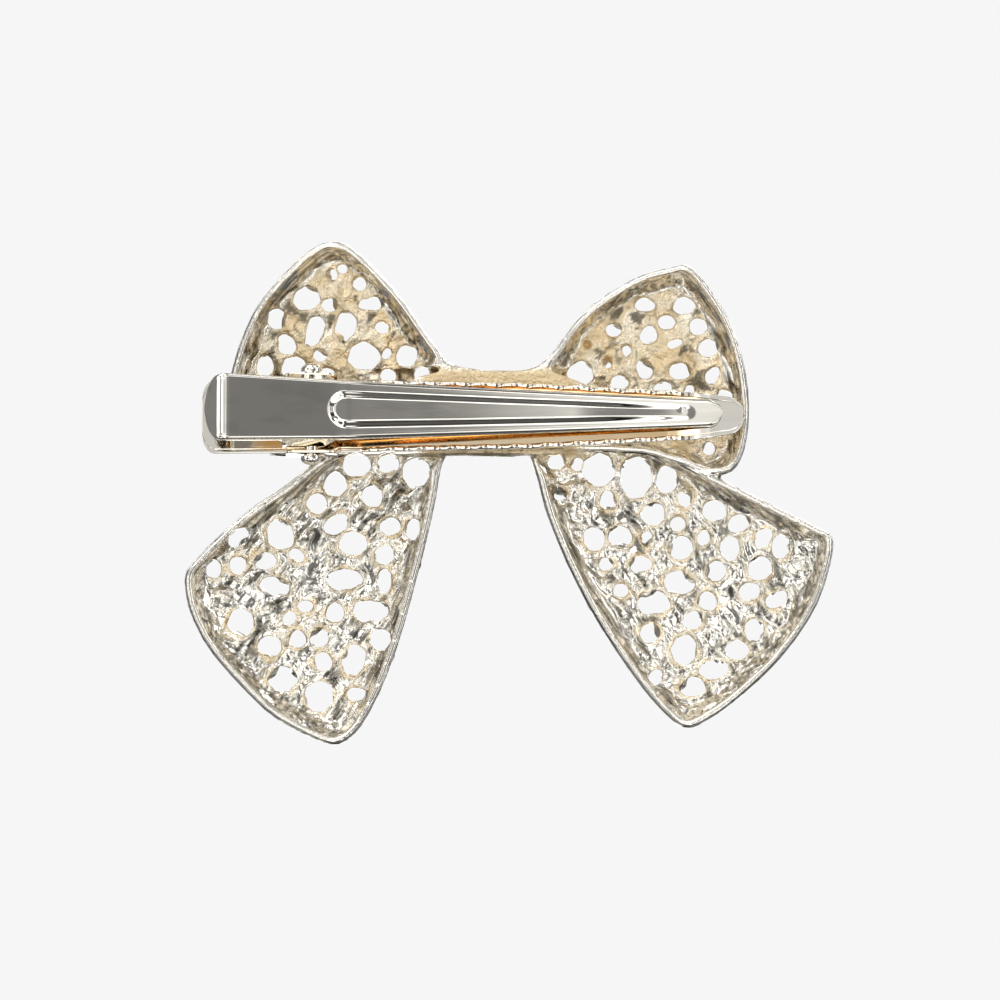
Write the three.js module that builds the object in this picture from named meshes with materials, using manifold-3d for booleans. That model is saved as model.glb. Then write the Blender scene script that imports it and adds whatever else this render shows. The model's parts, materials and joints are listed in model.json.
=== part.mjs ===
// Bow-shaped rhinestone hair clip: an openwork cast bow with stones on its front and a sprung
// single-prong clip across its back. Millimetres. +Z is up, +X is right as seen from the clip side,
// and +Y runs from the clip towards the stones. The origin is the middle of the grip plane, where
// the two jaws meet.
import * as THREE from 'three';
import * as BufferGeometryUtils from 'three/addons/utils/BufferGeometryUtils.js';
import Module from 'manifold-3d';

// ---- driving dimensions ------------------------------------------------------------------------

const SHEET = 0.6;            // thickness of the clip's sheet metal

// Lower jaw: half widths along its length, its plate's height and its scalloped edges
const JAW_Z = -0.1;           // the jaw's centre line
const JAW_TAIL_X = -32.2;
const JAW_TAIL_HALF = 4.05;
const JAW_ROOT_X = -16.5;
const JAW_ROOT_HALF = 3.9;
const JAW_MIDDLE_X = 3.0;
const JAW_MIDDLE_HALF = 3.55;
const JAW_END_X = 21.0;
const JAW_END_HALF = 2.6;
const JAW_TIP_X = 24.5;       // centre of the round tip
const JAW_TIP_RADIUS = 2.1;
const JAW_PLATE_Y = 0.9;      // inner face of the plate
const JAW_RISE_X = 18.0;      // the plate rises towards the lever from here to the tip
const JAW_TIP_Y = 0.0;
const JAW_RISE_LENGTH = 5.0;
const JAW_CORNER = 1.2;       // size of the tail's rounded corners
const JAW_TAIL_BOW = 0.4;     // how far the tail's end bows out
const TOOTH_PITCH = 3.35;
const TOOTH_COUNT = 10;
const TOOTH_START_X = -13.5;
const TOOTH_MID_Y = -0.1;
const TOOTH_SWING = 0.42;
const TOOTH_STEPS = 6;
const TOOTH_RUN_OUT = 1.6;    // the scalloped walls start and end on slopes this long
const JAW_WALL = 0.5;

// Hinge: ears on the jaw outside, ears on the lever inside, one pin through both
const PIN_X = -20.4;
const PIN_Y = -1.6;
const PIN_RADIUS = 0.75;
const PIN_HOLE = 1.0;
const PIN_SIDES = 16;
const EAR_HALF_LENGTH = 2.8;
const EAR_OUTER = 4.45;       // half distance across the jaw's ears
const EAR_TOP_Y = -3.3;
const EAR_CORNER = 0.9;
const CORNER_CUT = 0.3;       // share of a corner that its one middle point cuts off
const HEAD_RADIUS = 1.15;
const HEAD_HEIGHT = 1.0;
const HEAD_GAP = 0.1;
const DOME_RADIUS = 0.7;      // the head is round from its rim to this radius at the shoulder
const DOME_START = 0.35;      // heights of the rim and the shoulder as shares of the head's
const DOME_END = 0.85;

// Upper lever: its outer face runs through these stations from the tail to the tip
const LEVER_Z = 0.15;
const LEVER_TAIL_X = -30.0;
const LEVER_TAIL_Y = -8.0;
const LEVER_BEND_X = -16.6;
const LEVER_BEND_Y = -4.2;
const LEVER_TIP_X = 24.1;
const LEVER_TIP_Y = -0.9;
const LEVER_TAIL_HALF = 3.65;
const LEVER_BEND_HALF = 3.2;
const LEVER_TIP_HALF = 1.5;
const TAB_X = -31.4;          // the tail's turned-down end reaches this far
const TAB_Y = -5.4;
const FLANGE_DEPTH = 1.3;     // how far the pad's folded edges stand in from its outer face
const FLANGE_INSET = 0.8;     // the flanges start this far in from the tail's fold
const LEVER_EAR_HALF = 1.9;   // half length of the lever's ears at their root
const LEVER_EAR_TIP_HALF = 1.1;
const LEVER_EAR_REACH = 1.5;  // how far the ears reach past the pin's centre
const RIB_RISE = 0.35;
const RIB_START_X = -18.2;
const RIB_END_X = 20.4;
const RIB_START_HALF = 1.9;
const RIB_END_HALF = 0.8;
const RIB_START_SLOPE = 2.8;  // length of the rib's slopes at its two ends
const RIB_END_SLOPE = 1.4;
const RIB_ROUND = 1.6;
const SINK = 0.2;             // how far an added form reaches into the sheet below it

// Torsion spring
const WIRE_RADIUS = 0.35;
const COIL_RADIUS = 1.5;
const COIL_TURNS = 4.5;
const COIL_HALF_LENGTH = 1.7;
const LEG_END_X = -27.5;
const LEG_CLEARANCE = 0.65;   // from a leg's centre line to the sheet it presses on
const TURN_STEPS = 10;
const LEG_STEPS = 4;
const WIRE_STEPS = 64;
const WIRE_CURVE_STEPS = 3;   // gives the wire six sides

// Bow casting: a dished shell for each petal, open to the clip side
const SHELL = 1.0;            // thickness of a petal's floor
const KNOT_THICKNESS = 4.0;   // the knot is cast solid
const RIM_WIDTH = 0.45;       // width of the polished rim
const RIM_FLARE = 0.3;        // how far the shell bulges beyond its rim
const BULGE_RISE = 0.9;       // height of the widest point above the rim
const FOOT_ROUND = 0.2;       // how much wider the wall's foot is on the inside
const CROWN = 0.6;            // extra height at the middle of a petal's floor
const HALFWAY_CROWN = 0.42;   // and halfway to the middle
const WALL_KNEE = 0.6;        // the inner wall steepens at this share of its width
const WALL_KNEE_RISE = 0.68;  // and this share of its depth
const SHOULDER = 0.4;         // the outer wall turns over at this share of its width
const SHOULDER_RISE = 0.76;   // and this share of its height
const INSET_LIMIT = 0.9;      // no inset goes further than this share of the way to the middle
const OUTLINE_STEPS = 2;      // outline points for each stretch between two given points
const HOLE_SIDES = 7;
const RIM_Y = 2.0;            // rims near the clip
const TAIL_RIM_Y = 2.7;       // the tails start behind the loops
const LOOP_BOW_Z = 5;         // above this height the loops' rims curve towards the clip side
const LOOP_BOW = 0.004;
const TAIL_BOW_Z = -3;        // below this height the tails' rims do the same
const TAIL_BOW = 0.0016;
const TAIL_SIDE_BOW = 0.0009;
const SOLDER_RADIUS = 1.4;    // at the jaw, narrowing towards the casting
const SOLDER_TOP_RADIUS = 1.0;
const SOLDER_SIDES = 12;
const SOLDER_GAP = 0.02;
const SOLDER_X = [-5.7, 3.9]; // where the knot's rim crosses the jaw
const JAW_BACK_Y = JAW_PLATE_Y + SHEET;

// Rhinestones
const STONE_MAX_RADIUS = 1.45;
const STONE_MIN_RADIUS = 1.0;
const STONE_SIDES = 8;
const STONE_GRID = 0.8;
const STONE_SPACING = 0.9;    // least metal between two stones
const STONE_MAX_LIFT = 0.35;  // a place that would leave a wider gap under the stone is passed over
const STONE_MIN_FACING = 0.85;
const STONE_OVERHANG = 0.42;  // share of its radius that a stone may stand out over a hole
const STONE_GIRDLE = 0.35;    // height of the widest point above the foot
const STONE_CROWN = 0.45;     // height of the crown as a share of the radius
const STONE_FOOT = 0.72;      // radii of the foot and the table as shares of the girdle's
const STONE_TABLE = 0.55;
const STONE_EDGE_ROOM = 0.5;  // a stone may lie over this share of the wall's width
const STONE_GAP = 0.05;       // glue line between a stone and the casting
const REST_SAMPLES = 8;

const CURVE_STEPS = 8;
const FAR = 40;               // longer than any cut needs

// ---- materials ---------------------------------------------------------------------------------

const castingMetal = new THREE.MeshStandardMaterial({ color: 0xd9c49a, roughness: 0.42, metalness: 1 });
const clipMetal = new THREE.MeshStandardMaterial({ color: 0xd8d2c4, roughness: 0.12, metalness: 1 });
const springSteel = new THREE.MeshStandardMaterial({ color: 0x9a9a98, roughness: 0.3, metalness: 1 });
const solderMetal = new THREE.MeshStandardMaterial({ color: 0xa9a59b, roughness: 0.5, metalness: 1 });
const stoneGlass = new THREE.MeshStandardMaterial({ color: 0xf2f4f6, roughness: 0.03, metalness: 0.1 });

// ---- solids ------------------------------------------------------------------------------------

const wasm = await Module();
wasm.setup();

function solid(geometry) {
  const bare = geometry.clone();
  bare.deleteAttribute('normal');
  bare.deleteAttribute('uv');
  const merged = BufferGeometryUtils.mergeVertices(bare, 1e-4);
  const index = merged.index.array;
  const triangles = [];
  for (let i = 0; i < index.length; i += 3) {
    const [a, b, c] = [index[i], index[i + 1], index[i + 2]];
    if (a !== b && b !== c && c !== a) {
      triangles.push(a, b, c);
    }
  }
  const mesh = new wasm.Mesh({
    numProp: 3,
    vertProperties: Float32Array.from(merged.attributes.position.array),
    triVerts: Uint32Array.from(triangles),
  });
  return new wasm.Manifold(mesh);
}

function geometryOf(body) {
  const mesh = body.getMesh();
  const geometry = new THREE.BufferGeometry();
  geometry.setAttribute('position', new THREE.BufferAttribute(Float32Array.from(mesh.vertProperties), 3));
  geometry.setIndex(new THREE.BufferAttribute(Uint32Array.from(mesh.triVerts), 1));
  geometry.computeVertexNormals();
  return geometry;
}

function part(name, geometry, material) {
  const mesh = new THREE.Mesh(geometry, material);
  mesh.name = name;
  return mesh;
}

function vectors(pairs) {
  return pairs.map(([a, b]) => new THREE.Vector2(a, b));
}

function mix(a, b, t) {
  return a + (b - a) * t;
}

// A side view outline in X and Y, stretched from one Z to another
function sideSlab(pairs, lowZ, highZ) {
  const geometry = new THREE.ExtrudeGeometry(new THREE.Shape(vectors(pairs)), {
    depth: highZ - lowZ,
    bevelEnabled: false,
  });
  geometry.translate(0, 0, lowZ);
  return solid(geometry);
}

// A plan outline in X and Z, stretched through the whole depth of the part
function planSlab(shape) {
  const geometry = new THREE.ExtrudeGeometry(shape, {
    depth: 2 * FAR,
    bevelEnabled: false,
    curveSegments: CURVE_STEPS,
  });
  geometry.rotateX(Math.PI / 2);
  geometry.translate(0, FAR, 0);
  return solid(geometry);
}

function rodAlongZ(radius, sides, x, y, halfLength) {
  const geometry = new THREE.CylinderGeometry(radius, radius, 2 * halfLength, sides);
  geometry.rotateX(Math.PI / 2);
  geometry.translate(x, y, 0);
  return solid(geometry);
}

// ---- lower jaw ---------------------------------------------------------------------------------

function jawOutline(inset) {
  const shape = new THREE.Shape();
  const tailX = JAW_TAIL_X + inset;
  const tail = JAW_TAIL_HALF - inset;
  const root = JAW_ROOT_HALF - inset;
  const middle = JAW_MIDDLE_HALF - inset;
  const end = JAW_END_HALF - inset;
  const tip = JAW_TIP_RADIUS - inset;
  const side = tail - JAW_CORNER;
  shape.moveTo(tailX + JAW_CORNER, JAW_Z - tail);
  shape.lineTo(JAW_ROOT_X, JAW_Z - root);
  shape.lineTo(JAW_MIDDLE_X, JAW_Z - middle);
  shape.lineTo(JAW_END_X, JAW_Z - end);
  shape.absarc(JAW_TIP_X, JAW_Z, tip, -Math.PI / 2, Math.PI / 2, false);
  shape.lineTo(JAW_END_X, JAW_Z + end);
  shape.lineTo(JAW_MIDDLE_X, JAW_Z + middle);
  shape.lineTo(JAW_ROOT_X, JAW_Z + root);
  shape.lineTo(tailX + JAW_CORNER, JAW_Z + tail);
  shape.quadraticCurveTo(tailX, JAW_Z + tail, tailX, JAW_Z + side);
  shape.quadraticCurveTo(tailX - JAW_TAIL_BOW, JAW_Z, tailX, JAW_Z - side);
  shape.quadraticCurveTo(tailX, JAW_Z - tail, tailX + JAW_CORNER, JAW_Z - tail);
  return shape;
}

function jawPlate() {
  const riseEnd = JAW_RISE_X + JAW_RISE_LENGTH;
  const side = [
    [-FAR, JAW_PLATE_Y],
    [JAW_RISE_X, JAW_PLATE_Y],
    [riseEnd, JAW_TIP_Y],
    [FAR, JAW_TIP_Y],
    [FAR, JAW_TIP_Y + SHEET],
    [riseEnd, JAW_TIP_Y + SHEET],
    [JAW_RISE_X, JAW_BACK_Y],
    [-FAR, JAW_BACK_Y],
  ];
  return sideSlab(side, -FAR, FAR).intersect(planSlab(jawOutline(0)));
}

function jawTeeth() {
  const endX = TOOTH_START_X + TOOTH_PITCH * TOOTH_COUNT;
  const side = [[TOOTH_START_X - TOOTH_RUN_OUT, JAW_BACK_Y]];
  for (let i = 0; i <= TOOTH_COUNT * TOOTH_STEPS; i += 1) {
    const turn = (2 * Math.PI * i) / TOOTH_STEPS;
    const x = TOOTH_START_X + (i * TOOTH_PITCH) / TOOTH_STEPS;
    side.push([x, TOOTH_MID_Y + TOOTH_SWING * Math.cos(turn)]);
  }
  side.push([endX + TOOTH_RUN_OUT, JAW_PLATE_Y], [JAW_RISE_X, JAW_BACK_Y]);
  const walls = planSlab(jawOutline(0)).subtract(planSlab(jawOutline(JAW_WALL)));
  return sideSlab(side, -FAR, FAR).intersect(walls);
}

// Bent-up ears, joined to the plate by a strip as wide as they stand apart
function jawEars() {
  const low = PIN_X - EAR_HALF_LENGTH;
  const high = PIN_X + EAR_HALF_LENGTH;
  const side = [
    [low, JAW_BACK_Y],
    [low, EAR_TOP_Y + EAR_CORNER],
    [low + EAR_CORNER * CORNER_CUT, EAR_TOP_Y + EAR_CORNER * CORNER_CUT],
    [low + EAR_CORNER, EAR_TOP_Y],
    [high - EAR_CORNER, EAR_TOP_Y],
    [high - EAR_CORNER * CORNER_CUT, EAR_TOP_Y + EAR_CORNER * CORNER_CUT],
    [high, EAR_TOP_Y + EAR_CORNER],
    [high, JAW_BACK_Y],
  ];
  const strip = [[low, JAW_PLATE_Y], [high, JAW_PLATE_Y], [high, JAW_BACK_Y], [low, JAW_BACK_Y]];
  const inner = EAR_OUTER - SHEET;
  return sideSlab(strip, JAW_Z - EAR_OUTER, JAW_Z + EAR_OUTER)
    .add(sideSlab(side, JAW_Z + inner, JAW_Z + EAR_OUTER))
    .add(sideSlab(side, JAW_Z - EAR_OUTER, JAW_Z - inner))
    .subtract(rodAlongZ(PIN_HOLE, PIN_SIDES, PIN_X, PIN_Y, FAR));
}

function lowerJaw() {
  return jawPlate().add(jawTeeth()).add(jawEars());
}

// ---- upper lever -------------------------------------------------------------------------------

function leverOuterY(x) {
  if (x < LEVER_BEND_X) {
    return mix(LEVER_BEND_Y, LEVER_TAIL_Y, (LEVER_BEND_X - x) / (LEVER_BEND_X - LEVER_TAIL_X));
  }
  return mix(LEVER_BEND_Y, LEVER_TIP_Y, (x - LEVER_BEND_X) / (LEVER_TIP_X - LEVER_BEND_X));
}

function leverOutline(inset) {
  const shape = new THREE.Shape();
  const tail = LEVER_TAIL_HALF - inset;
  const bend = LEVER_BEND_HALF - inset;
  const tip = LEVER_TIP_HALF - inset;
  const roundX = LEVER_TIP_X - LEVER_TIP_HALF;
  const tailX = LEVER_TAIL_X + inset;
  shape.moveTo(tailX, LEVER_Z - tail);
  shape.lineTo(LEVER_BEND_X, LEVER_Z - bend);
  shape.lineTo(roundX, LEVER_Z - tip);
  shape.absarc(roundX, LEVER_Z, tip, -Math.PI / 2, Math.PI / 2, false);
  shape.lineTo(LEVER_BEND_X, LEVER_Z + bend);
  shape.lineTo(tailX, LEVER_Z + tail);
  shape.quadraticCurveTo(2 * TAB_X - LEVER_TAIL_X + inset, LEVER_Z, tailX, LEVER_Z - tail);
  return shape;
}

// The lever's sheet from the side: turned-down end, straight pad, bend and straight beak
function leverSheet() {
  const side = [
    [LEVER_TAIL_X, LEVER_TAIL_Y],
    [LEVER_BEND_X, LEVER_BEND_Y],
    [FAR, leverOuterY(FAR)],
    [FAR, leverOuterY(FAR) + SHEET],
    [LEVER_BEND_X, LEVER_BEND_Y + SHEET],
    [LEVER_TAIL_X + SHEET, leverOuterY(LEVER_TAIL_X + SHEET) + SHEET],
    [TAB_X + SHEET, TAB_Y],
    [TAB_X, TAB_Y],
  ];
  return sideSlab(side, -FAR, FAR).intersect(planSlab(leverOutline(0)));
}

// Folded edges of the pad and the ears that take the pin, all part of the same sheet
function leverFlanges() {
  const from = LEVER_TAIL_X + FLANGE_INSET;
  const to = LEVER_BEND_X + FLANGE_INSET;
  const rootX = PIN_X - LEVER_EAR_HALF - FLANGE_DEPTH;
  const side = [
    [from, leverOuterY(from) + SINK],
    [LEVER_BEND_X, LEVER_BEND_Y + SINK],
    [to, leverOuterY(to) + SINK],
    [to, leverOuterY(to) + FLANGE_DEPTH],
    [PIN_X + LEVER_EAR_HALF, PIN_Y],
    [PIN_X + LEVER_EAR_TIP_HALF, PIN_Y + LEVER_EAR_REACH],
    [PIN_X - LEVER_EAR_TIP_HALF, PIN_Y + LEVER_EAR_REACH],
    [PIN_X - LEVER_EAR_HALF, PIN_Y],
    [rootX, leverOuterY(rootX) + FLANGE_DEPTH],
    [from, leverOuterY(from) + FLANGE_DEPTH],
  ];
  const walls = planSlab(leverOutline(0)).subtract(planSlab(leverOutline(SHEET)));
  return sideSlab(side, -FAR, FAR)
    .intersect(walls)
    .subtract(rodAlongZ(PIN_HOLE, PIN_SIDES, PIN_X, PIN_Y, FAR));
}

function leverRib() {
  const shape = new THREE.Shape();
  const startX = RIB_START_X + RIB_ROUND;
  const endX = RIB_END_X - RIB_END_HALF;
  shape.moveTo(startX, LEVER_Z - RIB_START_HALF);
  shape.lineTo(endX, LEVER_Z - RIB_END_HALF);
  shape.absarc(endX, LEVER_Z, RIB_END_HALF, -Math.PI / 2, Math.PI / 2, false);
  shape.lineTo(startX, LEVER_Z + RIB_START_HALF);
  shape.quadraticCurveTo(RIB_START_X - RIB_ROUND, LEVER_Z, startX, LEVER_Z - RIB_START_HALF);
  const topStart = RIB_START_X + RIB_START_SLOPE;
  const topEnd = RIB_END_X - RIB_END_SLOPE;
  const side = [
    [RIB_START_X, leverOuterY(RIB_START_X) + SINK],
    [RIB_START_X, leverOuterY(RIB_START_X)],
    [topStart, leverOuterY(topStart) - RIB_RISE],
    [topEnd, leverOuterY(topEnd) - RIB_RISE],
    [RIB_END_X, leverOuterY(RIB_END_X)],
    [RIB_END_X, leverOuterY(RIB_END_X) + SINK],
    [LEVER_BEND_X, LEVER_BEND_Y + SINK],
  ];
  return sideSlab(side, -FAR, FAR).intersect(planSlab(shape));
}

function upperLever() {
  return leverSheet().add(leverFlanges()).add(leverRib());
}

// ---- hinge pin, spring and solder --------------------------------------------------------------

function hingePin() {
  const shaft = EAR_OUTER + HEAD_GAP;
  const top = shaft + HEAD_HEIGHT;
  const half = [
    [PIN_RADIUS, shaft],
    [HEAD_RADIUS, shaft],
    [HEAD_RADIUS, mix(shaft, top, DOME_START)],
    [DOME_RADIUS, mix(shaft, top, DOME_END)],
    [0, top],
  ];
  const otherHalf = half.map(([radius, z]) => [radius, -z]).reverse();
  const geometry = new THREE.LatheGeometry(vectors([...otherHalf, ...half]), PIN_SIDES);
  geometry.rotateX(Math.PI / 2);
  geometry.translate(PIN_X, PIN_Y, JAW_Z);
  return solid(geometry);
}

function coilPoint(i, steps) {
  const turn = -Math.PI / 2 + (2 * Math.PI * i) / TURN_STEPS;
  const x = PIN_X + COIL_RADIUS * Math.cos(turn);
  const y = PIN_Y + COIL_RADIUS * Math.sin(turn);
  return new THREE.Vector3(x, y, LEVER_Z + COIL_HALF_LENGTH * (1 - (2 * i) / steps));
}

// One leg lies under the lever's pad, the coil goes round the pin, the other leg lies on the jaw
function springPath() {
  const steps = COIL_TURNS * TURN_STEPS;
  const coil = [];
  for (let i = 0; i <= steps; i += 1) {
    coil.push(coilPoint(i, steps));
  }
  const leverLegY = leverOuterY(LEG_END_X) + SHEET + LEG_CLEARANCE;
  const leverLeg = new THREE.Vector3(LEG_END_X, leverLegY, LEVER_Z + COIL_HALF_LENGTH);
  const jawLeg = new THREE.Vector3(LEG_END_X, JAW_PLATE_Y - LEG_CLEARANCE, LEVER_Z - COIL_HALF_LENGTH);
  const before = [];
  const after = [];
  for (let i = 0; i < LEG_STEPS; i += 1) {
    before.push(leverLeg.clone().lerp(coil[0], i / LEG_STEPS));
    after.push(coil[steps].clone().lerp(jawLeg, (i + 1) / LEG_STEPS));
  }
  return new THREE.CatmullRomCurve3([...before, ...coil, ...after], false, 'centripetal');
}

function torsionSpring() {
  const wire = new THREE.Shape();
  wire.absarc(0, 0, WIRE_RADIUS, 0, 2 * Math.PI, false);
  const geometry = new THREE.ExtrudeGeometry(wire, {
    steps: WIRE_STEPS,
    curveSegments: WIRE_CURVE_STEPS,
    bevelEnabled: false,
    extrudePath: springPath(),
  });
  return solid(geometry);
}

// Solder between the jaw's back and the casting's rim where it crosses the jaw
function solderPad(x) {
  const height = RIM_Y - JAW_BACK_Y - 2 * SOLDER_GAP;
  const geometry = new THREE.CylinderGeometry(SOLDER_TOP_RADIUS, SOLDER_RADIUS, height, SOLDER_SIDES);
  geometry.translate(x, (JAW_BACK_Y + RIM_Y) / 2, JAW_Z);
  return solid(geometry);
}

// ---- bow casting -------------------------------------------------------------------------------

// Heights of the petals' rims
function loopRimY(x, z) {
  return RIM_Y - LOOP_BOW * Math.max(0, z - LOOP_BOW_Z) ** 2;
}

function tailRimY(x, z) {
  return TAIL_RIM_Y - TAIL_BOW * (z - TAIL_BOW_Z) ** 2 - TAIL_SIDE_BOW * x ** 2;
}

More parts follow.
